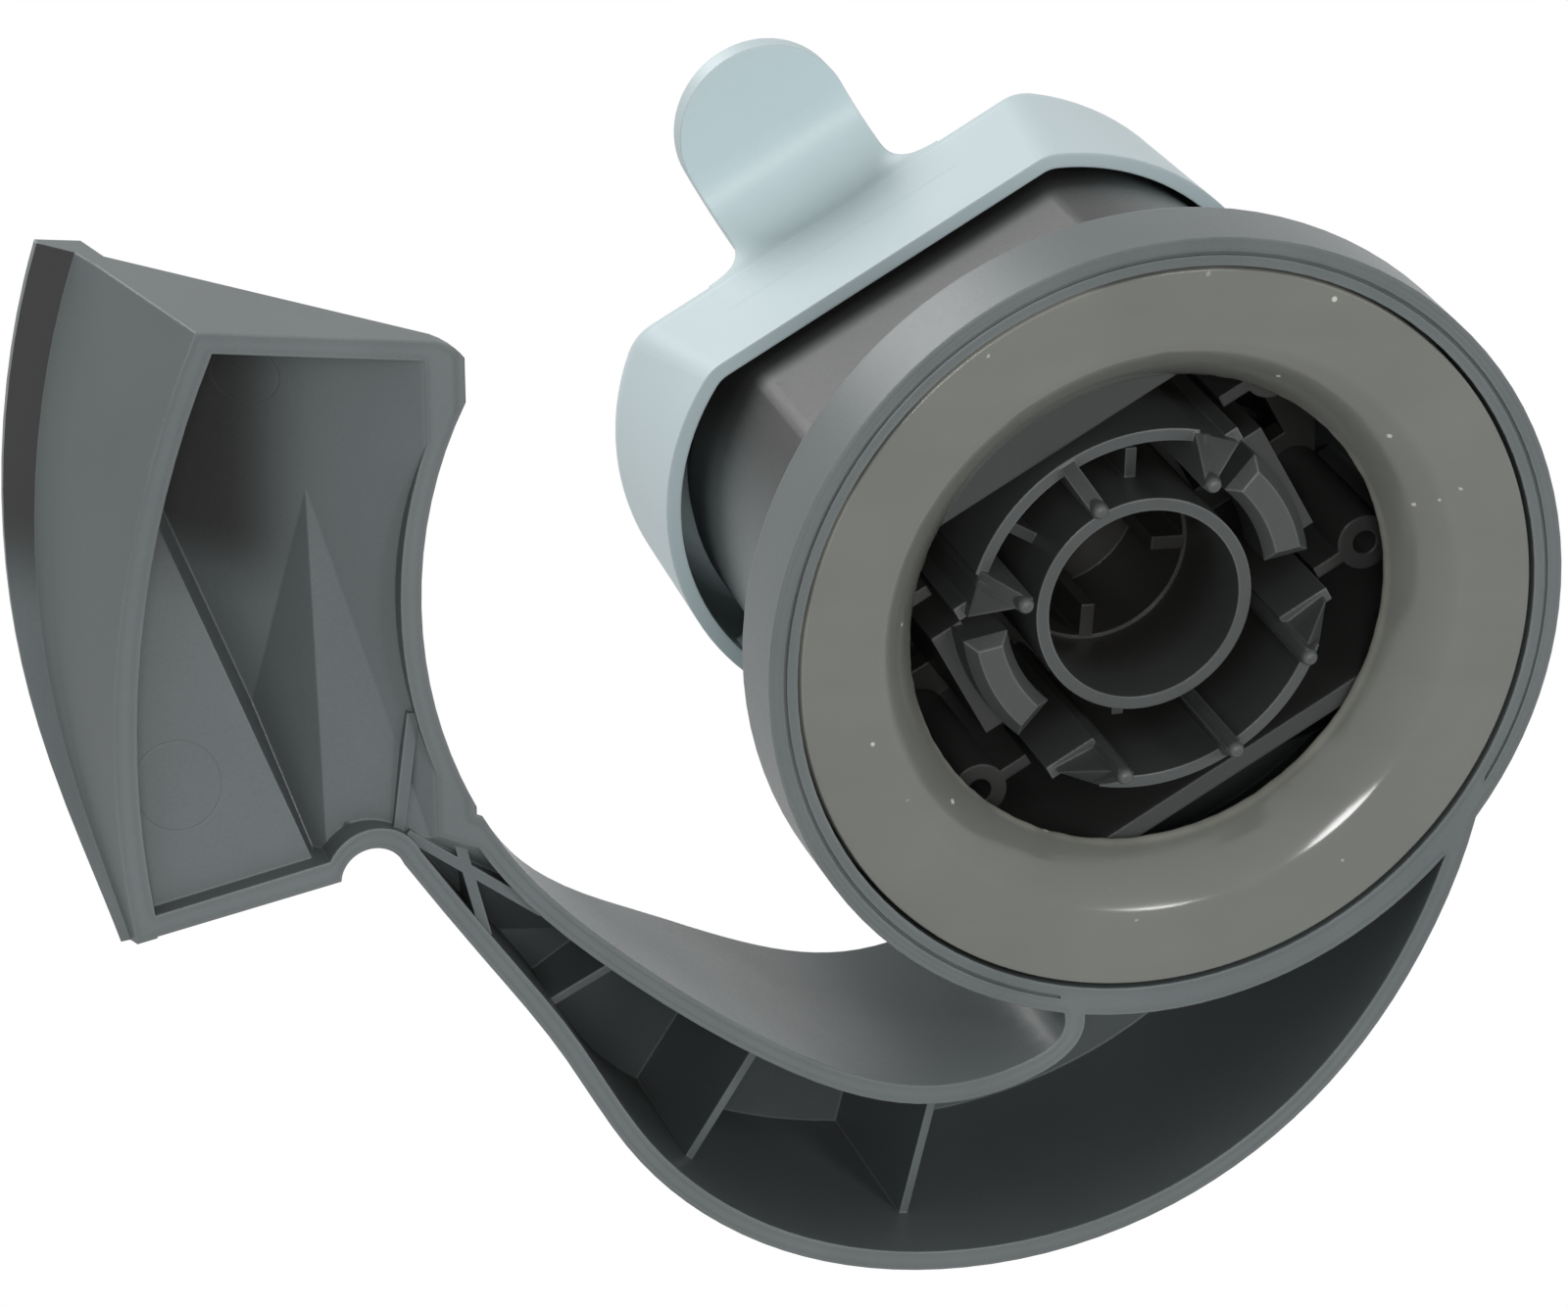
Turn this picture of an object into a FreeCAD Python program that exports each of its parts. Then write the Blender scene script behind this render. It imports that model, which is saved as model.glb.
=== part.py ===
# Air fryer stirring paddle: a moulded body with a ploughed blade, a drive hub, a seal ring and a
# release lever that spreads two latch jaws through a sliding yoke.
# Millimetres. Pieces are modelled with their rims on the plane of height 0 and then lowered by
# mouth_height, so that the origin is the centre of the drive bore's mouth, with Z up in use.
# The hub, tower and latch have their own axes: X along the tower's length, -Y towards the lever's tab.

import FreeCAD, Part
import math
import os
import re

import Sketcher
from FreeCAD import Placement, Rotation, Vector

os.makedirs("parts", exist_ok=True)
doc = FreeCAD.newDocument("paddle")

UP = Vector(0, 0, 1)
ORIGIN = Vector(0, 0, 0)

# Driving dimensions
DIMENSIONS = {
    # Frame
    "mouth_height": 8.0,
    "hub_turn": -32.0,
    "seat_gap": 0.3,
    "pin_play": 0.05,
    "pin_chamfer": 0.3,
    "root_depth": 0.3,
    "tool_overrun": 1.0,
    # Flange ring and seal
    "flange_radius": 43.0,
    "flange_height": 9.0,
    "flange_plate": 1.5,
    "seal_seat_radius": 40.0,
    "seal_radius": 39.6,
    "seal_face": 0.2,
    "seal_flat_radius": 31.5,
    "seal_hole_radius": 26.0,
    "seal_funnel_rise": 6.9,
    "seal_wall": 1.6,
    "seal_lip": 0.8,
    "seal_knee_width": 2.2,
    "seal_knee_height": 2.9,
    # Tower
    "tower_half_depth": 23.0,
    "tower_end_radius": 24.9,
    "tower_end_offset": 9.3,
    "tower_corner": 4.0,
    "tower_wall": 2.0,
    "tower_top": 64.0,
    "tower_draft": 1.3,
    "rib_offset": 11.75,
    "rib_thickness": 1.3,
    "rib_start": 17.9,
    "rib_bottom": 14.0,
    "plate_height": 34.0,
    "rim_groove_radius": 41.3,
    "rim_groove_width": 0.35,
    "rim_groove_depth": 0.3,
    # Drive hub
    "bore_radius": 10.4,
    "socket_radius": 10.0,
    "tube_radius": 11.75,
    "hub_plate": 3.0,
    "hub_top_wall": 2.0,
    "hub_inset": 1.6,
    "arc_inner_radius": 18.7,
    "arc_outer_radius": 20.0,
    "arc_rim": 6.5,
    "arc_half_angle": 43.0,
    "guide_pin_circle": 16.3,
    "guide_pin_radius": 0.9,
    "gusset_thickness": 1.7,
    "gusset_angle": 44.0,
    "gusset_foot": 0.5,
    "gusset_back": 0.6,
    "wedge_angle": 57.0,
    "wedge_fall": 0.4,
    "wedge_rise": 0.3,
    "web_radius": 15.0,
    "web_thickness": 1.2,
    "web_angle": 30.0,
    "guide_wall_offset": 10.2,
    "guide_wall_thickness": 1.5,
    "guide_wall_start": 11.5,
    "guide_wall_end": 17.3,
    "drive_rib_height": 23.5,
    "drive_rib_radius": 6.5,
    "drive_rib_thickness": 1.5,
    "ear_offset": 7.2,
    "ear_thickness": 2.0,
    "ear_half_length": 3.0,
    "jaw_slot_start": 13.5,
    "jaw_slot_length": 11.5,
    # Latch jaws
    "jaw_half_width": 6.5,
    "jaw_bottom": 9.3,
    "jaw_inner_radius": 14.2,
    "jaw_outer_radius": 19.0,
    "jaw_thickness": 3.6,
    "claw_height": 7.0,
    "claw_chamfer": 1.1,
    "jaw_arm_start": 5.0,
    "jaw_pivot": 18.5,
    "jaw_pivot_height": 40.0,
    "jaw_boss_radius": 3.2,
    "jaw_top": 50.0,
    "jaw_pin_radius": 1.25,
    "jaw_spring_drop": 3.0,
    "jaw_spring_radius": 2.3,
    "jaw_spring_wire": 0.6,
    "jaw_spring_turns": 8.0,
    "spring_post_radius": 1.6,
    "spring_post_length": 3.5,
    # Latch yoke
    "yoke_height": 52.0,
    "yoke_bar": 3.0,
    "yoke_half_width": 5.0,
    "yoke_half_length": 24.0,
    "stem_half_length": 6.0,
    "stem_front": 4.0,
    "stem_back": 9.5,
    "stem_top": 76.0,
    "finger_bottom": 44.2,
    "finger_slope": 0.217,
    "slot_play": 0.45,
    "yoke_disc_radius": 12.0,
    "yoke_spring_radius": 10.3,
    "yoke_spring_wire": 1.1,
    "yoke_spring_turns": 2.0,
    # Tower plate and screws
    "lid_thickness": 2.5,
    "lid_inset": 0.5,
    "lid_screw_x": 23.0,
    "lid_screw_y": 14.5,
    "hub_screw_x": 24.0,
    "screw_radius": 1.3,
    "screw_length": 12.0,
    "screw_head_radius": 2.2,
    "screw_head_height": 1.6,
    "recess_half_length": 1.3,
    "recess_width": 0.6,
    "boss_radius": 3.0,
    "boss_height": 11.0,
    # Release lever
    "lever_rim": 57.0,
    "lever_shift": -1.2,
    "lever_half_depth": 22.9,
    "lever_end_radius": 25.7,
    "lever_corner": 5.0,
    "lever_wall": 1.6,
    "lever_front_draft": 7.0,
    "lever_end_draft": 2.0,
    "lever_top": 84.5,
    "lever_rounding": 7.0,
    "lever_front_rounding": 10.0,
    "lever_end_rounding": 4.5,
    "skirt_cut_rise": 6.0,
    "hinge_back": 10.0,
    "hinge_rise": 3.5,
    "hinge_pin_radius": 1.5,
    "hinge_pin_start": 27.8,
    "hinge_pin_end": 34.2,
    "hinge_pad_radius": 2.9,
    "hinge_pad_start": 32.3,
    "yoke_pin_front": 7.0,
    "yoke_pin_height": 72.0,
    "yoke_pin_travel": 5.55,
    "yoke_pin_radius": 1.5,
    "yoke_pin_half_length": 11.0,
    "lug_start": 7.0,
    "lug_thickness": 3.0,
    "lug_half_width": 4.0,
    "tab_shift": -0.4,
    "tab_half_width": 9.9,
    "tab_thickness": 2.5,
    "tab_reach": 39.5,
    "tab_height": 91.0,
    "tab_bend": 9.0,
    "tab_root": 5.0,
    "tab_foot_share": 0.45,
    # Blade
    "blade_radius": 110.0,
    "blade_flare": 0.30,
    "lip_proud": 0.9,
    "lip_flare": 0.37,
    "lip_wall": 2.1,
    "lip_step": 0.15,
    "blade_rear": 38.4,
    "blade_front": 26.3,
    "blade_wall": 2.2,
    "ramp_start": 1.6,
    "ramp_slope": 0.24,
    "crest_height": 25.2,
    "crest_slope": 0.675,
    "steep_slope": 4.0,
    "steep_foot": 12.0,
    "divider_thickness": 1.2,
    "divider_bottom": 1.0,
    # Arm
    "arm_wall": 2.1,
    "arm_roof": 2.2,
    "arm_height": 33.0,
    "arm_neck_height": 14.0,
    "brace_thickness": 1.1,
    "brace_bottom": 0.6,
    "brace_overrun": 0.5,
    "arm_rib_thickness": 0.9,
    "arm_rib_bottom": 9.0,
    "arm_rib_overrun": 4.0,
}

# Sizes that follow from others
DERIVED = {
    "lip_radius": "=blade_radius + lip_proud",
    "hinge_height": "=lever_rim + hinge_rise",
    "lever_skirt_cut": "=lever_rim + skirt_cut_rise",
    "jaw_spring_height": "=jaw_top - jaw_spring_drop",
}

sheet = doc.addObject("Spreadsheet::Sheet", "Sizes")
for row, (alias, value) in enumerate((DIMENSIONS | DERIVED).items(), start=1):
    sheet.set(f"A{row}", alias)
    sheet.set(f"B{row}", str(value))
    sheet.setAlias(f"B{row}", alias)
doc.recompute()


class Size:
    """The sheet's cells as numbers, for the shapes that are made in code."""

    def __getattr__(self, alias):
        return float(sheet.get(alias))


size = Size()
subparts = []


def link(expression):
    """An expression in which each alias names its cell in the sheet."""
    return re.sub(r"[a-z]+(?:_[a-z]+)+", lambda word: "Sizes." + word.group(), str(expression))


def worth(expression):
    """The value of an expression on the sheet's aliases, in millimetres or degrees."""
    return float(sheet.evalExpression(link(expression)))


def bind(thing, **expressions):
    """Bind properties of an object to expressions; x, y and z are its place."""
    for name, expression in expressions.items():
        path = "Placement.Base." + name if name in "xyz" else name
        thing.setExpression(path, link(expression))
    return thing


def sub_part(thing, label, turned):
    """Name a finished piece, and set it in the shared frame."""
    thing.Label = label
    if turned:
        thing.Placement = Placement(ORIGIN, Rotation(UP, size.hub_turn))
        thing.setExpression("Placement.Rotation.Angle", "-Sizes.hub_turn")
        thing.setExpression("Placement.Rotation.Axis.z", "-1")
    bind(thing, z="-mouth_height")
    subparts.append(thing)
    return thing


# Solids and joins

def cylinder(name, radius, height, x=0, y=0, z=0, along="Z"):
    rod = doc.addObject("Part::Cylinder", name)
    if along == "X":
        rod.Placement = Placement(ORIGIN, Rotation(Vector(0, 1, 0), 90))
    if along == "Y":
        rod.Placement = Placement(ORIGIN, Rotation(Vector(1, 0, 0), -90))
    return bind(rod, Radius=radius, Height=height, x=x, y=y, z=z)


def box(name, length, width, height, x, y, z):
    block = doc.addObject("Part::Box", name)
    return bind(block, Length=length, Width=width, Height=height, x=x, y=y, z=z)


def feature(name, shape):
    made = doc.addObject("Part::Feature", name)
    made.Shape = shape
    return made


def fuse(name, pieces):
    joined = doc.addObject("Part::MultiFuse", name)
    joined.Shapes = pieces
    return joined


def cut(name, base, tools):
    """Take each tool from the base in turn."""
    left = base
    for index, tool in enumerate(tools, start=1):
        step = doc.addObject("Part::Cut", f"{name}_{index}")
        step.Base = left
        step.Tool = tool
        left = step
    return left


def prism(points, direction, start=ORIGIN):
    """A solid swept from a closed polygon of points along a direction."""
    corners = [Vector(*point) + start for point in points]
    return Part.Face(Part.makePolygon(corners + corners[:1])).extrude(direction)


def hexahedron(low, high):
    """A solid with four lower and four upper corners."""
    rings = [low[::-1], high]
    for index in range(4):
        after = (index + 1) % 4
        rings.append([low[index], low[after], high[after], high[index]])
    triangles = []
    for ring in rings:
        for corners in ((ring[0], ring[1], ring[2]), (ring[0], ring[2], ring[3])):
            triangles.append(Part.Face(Part.makePolygon(list(corners) + [corners[0]])))
    return Part.makeSolid(Part.makeShell(triangles)).removeSplitter()


def settled(shape):
    """The shape with its own place worked into its geometry."""
    place = shape.Placement.toMatrix()
    bare = shape.copy()
    bare.Placement = Placement()
    return bare.transformed(place, True)


def loft(wires, ruled):
    return Part.makeLoft(wires, True, ruled)


def turned_about_axis(shape, degrees):
    copy = shape.copy()
    copy.rotate(ORIGIN, UP, degrees)
    return copy


# Tower and lever outline: two flat sides, two round ends and four rounded corners

def lozenge(half_depth, end_radius, corner, height):
    offset = size.tower_end_offset
    reach = end_radius - corner
    corner_x = offset + math.sqrt(reach ** 2 - (half_depth - corner) ** 2)
    centre = Vector(corner_x, half_depth - corner, height)
    along = Vector(corner_x - offset, half_depth - corner, 0).normalize()
    flat_end = Vector(corner_x, half_depth, height)
    arc_end = centre + along * corner
    middle = centre + (along + Vector(0, 1, 0)).normalize() * corner
    tip = Vector(offset + end_radius, 0, height)

    def flip(point, sign_x, sign_y):
        return Vector(point.x * sign_x, point.y * sign_y, height)

    def corner_arc(sign_x, sign_y):
        stops = [flip(point, sign_x, sign_y) for point in (flat_end, middle, arc_end)]
        return stops if sign_x == sign_y else stops[::-1]

    edges = []
    for sign_x, sign_y in ((1, 1), (1, -1), (-1, -1), (-1, 1)):
        stops = corner_arc(sign_x, sign_y)
        edges.append(Part.Arc(*stops).toShape())
        if sign_x == sign_y:
            edges.append(Part.Arc(stops[2], flip(tip, sign_x, sign_y), flip(stops[2], 1, -1)).toShape())
        else:
            edges.append(Part.makeLine(stops[2], flip(stops[2], -1, 1)))
    return Part.Wire(edges)


def slope(degrees):
    return math.tan(math.radians(degrees))


def tower_outline(height, inset):
    """The tower's outline at a height, drawn in by its draft and by an inset."""
    drawn_in = (height - size.flange_height) * slope(size.tower_draft) + inset
    corner = max(size.tower_corner - inset, 1.0)
    return lozenge(size.tower_half_depth - drawn_in, size.tower_end_radius - drawn_in, corner, height)


def tower_solid(bottom, top, inset):
    return loft([tower_outline(bottom, inset), tower_outline(top, inset)], True)


def straight_plate(bottom, thickness, inset, reference):
    """A plate with upright sides, whose outline is the tower's at a reference height."""
    outline = tower_outline(reference, inset)
    outline.translate(Vector(0, 0, bottom - reference))
    return Part.Face(outline).extrude(Vector(0, 0, thickness))


# Plan outline of the arm and the blade

HUB_SIDE = [(-75.2, -31.5), (-78.9, -20.0), (-79.6, -10.6), (-77.0, 4.4), (-68.5, 20.0), (-55.0, 32.5),
            (-39.5, 43.0), (-22.3, 49.4), (-12.5, 47.8), (-8.2, 44.8), (-8.6, 41.0)]
OUTER_SIDE = [(-80.0, 19.5), (-71.0, 31.0), (-62.5, 42.0), (-54.0, 54.5), (-38.0, 66.8), (-16.5, 71.2),
              (7.0, 65.5), (22.0, 53.8), (32.5, 36.3), (36.6, 20.0), (35.0, 2.0)]
CORNER = [(-79.5, -36.25), (-76.4, -34.4)]
NOTCH = [(-86.4, 20.9), (-83.2, 17.5)]
INSIDE_TOWER = [(20.0, -8.0), (-12.0, 12.0)]
FAR = 20.0


def spline(points, inset, side):
    """A curve through points, each moved across the curve by an inset."""
    curve = Part.BSplineCurve()
    curve.interpolate([Vector(x, y, 0) for x, y in points])
    if inset == 0:
        return curve
    moved = []
    for x, y in points:
        tangent = curve.tangent(curve.parameter(Vector(x, y, 0)))[0]
        moved.append(Vector(x - tangent.y * inset * side, y + tangent.x * inset * side, 0))
    curve.interpolate(moved)
    return curve


def rear_line(x, inset):
    """The height in plan of the blade's rear edge at x."""
    return -size.blade_rear + 0.09 * (x + 103.3) + inset


def front_line(x, inset):
    """The height in plan of the blade's leading edge at x."""
    return size.blade_front - 0.243 * (x + 108.6) - inset


def paddle_plan(inset):
    """The face of the arm and blade in plan, drawn in by an inset."""
    hub_edge = spline(HUB_SIDE, inset, 1)
    outer_edge = spline(OUTER_SIDE, inset, -1)
    hub_start = hub_edge.value(hub_edge.FirstParameter)
    hub_end = hub_edge.value(hub_edge.LastParameter)
    outer_start = outer_edge.value(outer_edge.FirstParameter)
    outer_end = outer_edge.value(outer_edge.LastParameter)
    far_x = -size.blade_radius - FAR
    corner_x = CORNER[0][0] - 0.3 * inset
    corner_start = Vector(corner_x, rear_line(corner_x, inset), 0)
    corner_middle = Vector(CORNER[1][0] - 0.6 * inset, CORNER[1][1] + 0.75 * inset, 0)
    notch_x = NOTCH[0][0] - 0.6 * inset
    notch_start = Vector(notch_x, front_line(notch_x, 1.2 * inset), 0)
    notch_middle = Vector(NOTCH[1][0] - 0.1 * inset, NOTCH[1][1] - inset, 0)
    far_rear = Vector(far_x, rear_line(far_x, inset), 0)
    far_front = Vector(far_x, front_line(far_x, inset), 0)
    inside = [Vector(x, y, 0) for x, y in INSIDE_TOWER]
    edges = [
        Part.makeLine(far_rear, corner_start),
        Part.Arc(corner_start, corner_middle, hub_start).toShape(),
        hub_edge.toShape(),
        Part.makeLine(hub_end, inside[1]),
        Part.makeLine(inside[1], inside[0]),
        Part.makeLine(inside[0], outer_end),
        outer_edge.toShape(),
        Part.Arc(outer_start, notch_middle, notch_start).toShape(),
        Part.makeLine(notch_start, far_front),
        Part.makeLine(far_front, far_rear),
    ]
    return Part.Face(Part.Wire(Part.__sortEdges__(edges)))


def plan_prism(inset):
    face = paddle_plan(inset)
    return face.extrude(Vector(0, 0, size.tower_top))


# Upper surfaces of the blade, each a plane: height = a + b x + c y

BLADE_BLOCK = ((-140.0, -60.0), (-60.0, -60.0), (-60.0, 50.0), (-140.0, 50.0))
RAMP_EDGE = (-108.6, 0.972, -0.236)
STEEP_FOOT = (-104.0, -15.4)
STEEP_ACROSS = (0.889, -0.459)
CREST_X = -114.0
CREST_TILT = 0.05
DIP = (-88.5, -17.5)
DIP_FLOOR_SLOPES = (-0.265, -0.094)
DIP_SIDE_SLOPES = (-1.2, -0.029)
FLOOR = -30.0
CEILING = 120.0


def plane_through(x, y, height, slope_x, slope_y):
    return (height - slope_x * x - slope_y * y, slope_x, slope_y)


def lowered(plane, wall):
    a, b, c = plane
    return (a - wall * math.sqrt(1 + b * b + c * c), b, c)


def block(plane, level):
    """The block between a plane and a level, above or below it."""
    slanted = [Vector(x, y, plane[0] + plane[1] * x + plane[2] * y) for x, y in BLADE_BLOCK]
    flat = [Vector(x, y, level) for x, y in BLADE_BLOCK]
    if level < 0:
        return hexahedron(flat, slanted)
    return hexahedron(slanted, flat)


def blade_mass(wall):
    """All that lies under the blade's top: a ramp, a steep face and a back slope with a dip."""
    lead_x, edge_x, edge_y = RAMP_EDGE
    ramp_height = size.ramp_start + size.blade_wall
    ramp = plane_through(lead_x, size.blade_front, ramp_height,
                         size.ramp_slope * edge_y, -size.ramp_slope * edge_x)
    (foot_x, foot_y), (across_x, across_y) = STEEP_FOOT, STEEP_ACROSS
    foot_shift = size.blade_wall if wall == 0 else 0.0
    steep = plane_through(foot_x - foot_shift * across_x, foot_y - foot_shift * across_y, size.steep_foot,
                          size.steep_slope * across_x, size.steep_slope * across_y)
    back = plane_through(CREST_X, -size.blade_rear, size.crest_height, -size.crest_slope, CREST_TILT)
    dip_height = back[0] + back[1] * DIP[0] + back[2] * DIP[1]
    dip_floor = plane_through(*DIP, dip_height, *DIP_FLOOR_SLOPES)
    dip_side = plane_through(*DIP, dip_height, *DIP_SIDE_SLOPES)
    back_part = block(lowered(back, wall), FLOOR).common(cut_block(steep))
    dip = block(lowered(dip_floor, wall), CEILING).common(block(lowered(dip_side, wall), CEILING))
    ramp_part = block(lowered(ramp, wall), FLOOR).common(block(steep, CEILING))
    return [ramp_part, back_part.cut(dip)]


def cut_block(plane):
    """The part of the block that lies under a steep plane."""
    low = [Vector(x, y, FLOOR) for x, y in BLADE_BLOCK]
    whole = prism([(v.x, v.y, v.z) for v in low], Vector(0, 0, CEILING - FLOOR))
    return whole.cut(block_above(plane))


def block_above(plane):
    """The part above a steep plane, wherever it leaves the block."""
    (x0, y0), (x1, y1) = BLADE_BLOCK[0], BLADE_BLOCK[2]
    points = []
    for y in (y0, y1):
        for z in (FLOOR, CEILING):
            points.append(Vector((z - plane[0] - plane[2] * y) / plane[1], y, z))
    near_low, near_high, far_low, far_high = points
    low = [Vector(x0 - 60, y0, FLOOR), near_low, far_low, Vector(x0 - 60, y1, FLOOR)]
    high = [Vector(x0 - 60, y0, CEILING), near_high, far_high, Vector(x0 - 60, y1, CEILING)]
    return hexahedron(low, high)


ARM_DIRECTION = Vector(0.852, 0.523, 0)
ARM_ACROSS = Vector(-0.523, 0.852, 0)
HUB_SIDE_OFFSET = 56.0
ROOF_BEFORE = 80.0
ROOF_SWEEP = 140.0


def roof_solid(rises, tilt):
    """All under a roof that rises along the arm, and tilts up away from its hub side."""
    curve = Part.BSplineCurve()
    curve.interpolate([ARM_DIRECTION * along + UP * height for along, height in rises])
    start = ARM_DIRECTION * rises[0][0] + UP * rises[0][1]
    end = ARM_DIRECTION * rises[-1][0] + UP * rises[-1][1]
    low_start = ARM_DIRECTION * rises[0][0] + UP * (2 * FLOOR)
    low_end = ARM_DIRECTION * rises[-1][0] + UP * (2 * FLOOR)
    edges = [curve.toShape(), Part.makeLine(end, low_end), Part.makeLine(low_end, low_start),
             Part.makeLine(low_start, start)]
    face = Part.Face(Part.Wire(Part.__sortEdges__(edges)))
    face.translate(ARM_ACROSS * (HUB_SIDE_OFFSET - ROOF_BEFORE) - UP * (ROOF_BEFORE * tilt))
    return face.extrude((ARM_ACROSS + UP * tilt) * ROOF_SWEEP)


def arm_mass(wall):
    """All that lies under the arm's roof, which rises to the tower and is bevelled on its hub side."""
    neck, top = size.arm_neck_height - wall, size.arm_height - wall
    middle = (-66.0, 3.2 - wall), (-58.0, neck - 3.5), (-50.0, neck - 0.6), (-38.0, neck + 2.0)
    roof = list(middle) + [(-23.0, neck + 8.0), (-4.0, top - 2.5), (14.0, top), (70.0, top)]
    bevel = [(-66.0, 4.0), (-56.0, 4.2), (-47.5, 6.0), (-38.0, 10.5), (-30.0, 15.5), (-23.4, 20.0),
             (-14.0, 25.5), (-4.3, 30.5), (8.0, 40.0), (70.0, 90.0)]
    bevel = [(along, height - 1.25 * wall) for along, height in bevel]
    return roof_solid(roof, 0.0).common(roof_solid(bevel, 0.8))


def flared(radius, flare):
    """A cone about the axis, wider by the flare for each millimetre of height."""
    return Part.makeCone(radius, radius + flare * size.tower_top, size.tower_top)


def under_top(plan, wall, cone):
    blade_parts = [plan.common(piece).common(cone) for piece in blade_mass(wall)]
    return plan.common(arm_mass(wall)).fuse(blade_parts).removeSplitter()


LIP_STATIONS = [(166.3, 1.6), (171.0, 5.5), (176.5, 11.5), (182.0, 16.5), (190.0, 21.5), (199.0, 25.0),
                (206.0, 25.8)]
LIP_START = 0.72
LIP_BEAD = 0.86
LIP_EDGE = 0.955
LIP_SWELL = 0.012


def lip_section(angle, height):
    """The outer wall's section at an angle: an inner face, a flared face and a proud lip."""
    lip = size.lip_radius + size.lip_flare * height
    outer = size.blade_radius + size.lip_step
    outline = [
        (outer - size.lip_wall, 0.0),
        (outer, 0.0),
        (outer + size.blade_flare * height * LIP_START, height * LIP_START),
        (outer + (size.blade_flare * LIP_BEAD + LIP_SWELL) * height, height * LIP_BEAD),
        (lip, height * LIP_EDGE),
        (lip, height),
        (outer - size.lip_wall + size.blade_flare * height, height),
    ]
    points = [Vector(radius, 0, level) for radius, level in outline]
    wire = Part.makePolygon(points + points[:1])
    wire.rotate(ORIGIN, UP, angle)
    return wire


def outer_wall():
    """The blade's outer wall, cut off in line with the rear edge."""
    wall = loft([lip_section(angle, height) for angle, height in LIP_STATIONS], False)
    behind = [(-150, rear_line(-150, 0), -1), (-60, rear_line(-60, 0), -1), (-60, -90, -1), (-150, -90, -1)]
    return wall.cut(prism(behind, Vector(0, 0, size.tower_top)))


def strip(start, end, thickness, bottom, extra):
    """An upright rib between two points in plan, longer by an extra at both ends."""
    first, last = Vector(*start, bottom), Vector(*end, bottom)
    along = (last - first).normalize()
    side = Vector(-along.y, along.x, 0) * (thickness / 2)
    first, last = first - along * extra, last + along * extra
    corners = [first - side, last - side, last + side, first + side]
    return prism([(v.x, v.y, v.z) for v in corners], Vector(0, 0, size.tower_top))


ARM_RIBS = [((-59.7, 40.0), (-55.7, 37.7)), ((-45.0, 60.0), (-38.8, 48.7)), ((-20.7, 68.4), (-18.7, 56.9))]
BRACE = [((-79.3, 16.8), (-65.5, 26.0)), ((-75.3, 14.5), (-71.0, 28.0))]
DIVIDER = ((-79.6, 4.0), (-80.4, 16.0))


def make_paddle_body():
    """One moulding: flange ring, tower, hollow arm and hollow blade."""
    cone = flared(size.blade_radius, size.blade_flare)
    inner_cone = flared(size.blade_radius - size.blade_wall, size.blade_flare)
    mass = under_top(plan_prism(0), 0, cone)
    hollow = under_top(plan_prism(size.arm_wall), size.arm_roof, inner_cone)
    plate_bottom = size.flange_height - size.flange_plate
    tower = turned_about_axis(tower_solid(plate_bottom, size.tower_top, 0), size.hub_turn)
    inside = turned_about_axis(tower_solid(plate_bottom, size.tower_top, size.tower_wall), size.hub_turn)
    ring_wall = Part.makeCylinder(size.flange_radius, size.tower_top)
    ring_wall = ring_wall.cut(Part.makeCylinder(size.seal_seat_radius, size.tower_top))
    seat_disc = Part.makeCylinder(size.seal_seat_radius, plate_bottom)
    hollow = hollow.cut(ring_wall).cut(tower).cut(seat_disc)
    moulding = mass.cut(hollow).fuse(outer_wall()).fuse(tower)
    shell = feature("arm_blade_and_tower", moulding.cut(seat_disc).cut(inside))
    openings = [cylinder("seal_seat", "seal_seat_radius", "flange_height - flange_plate"),
                feature("tower_inside", inside), feature("hollow", hollow)]
    openings.append(cut("rim_groove", cylinder("groove_disc", "rim_groove_radius + 0.5 * rim_groove_width",
                                               "rim_groove_depth"),
                        [cylinder("groove_core", "rim_groove_radius - 0.5 * rim_groove_width",
                                  "2 * rim_groove_depth")]))
    flange = cut("flange_ring", cylinder("flange_disc", "flange_radius", "flange_height"), openings)
    ribs = [feature(f"arm_rib_{index}", mass.common(rib).common(hollow))
            for index, rib in enumerate(arm_ribs(), start=1)]
    joined = fuse("paddle_body_joined", [shell, flange] + ribs + tower_ribs())
    hinge = Part.makeCylinder(size.hinge_pin_radius, 4 * size.hinge_pin_end,
                              Vector(-2 * size.hinge_pin_end, size.hinge_back, size.hinge_height),
                              Vector(1, 0, 0))
    hinge_hole = feature("tower_hinge_hole", turned_about_axis(hinge, size.hub_turn))
    return sub_part(cut("paddle_body_solid", joined, [hinge_hole]), "paddle_body", False)


def arm_ribs():
    """Upright ribs for the arm's hollow, two crossed braces at its neck and the blade's divider."""
    ribs = [strip(*ends, size.arm_rib_thickness, size.arm_rib_bottom, size.arm_rib_overrun)
            for ends in ARM_RIBS]
    ribs += [strip(*ends, size.brace_thickness, size.brace_bottom, size.brace_overrun) for ends in BRACE]
    ribs.append(strip(*DIVIDER, size.divider_thickness, size.divider_bottom, size.brace_overrun))
    return ribs


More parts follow.
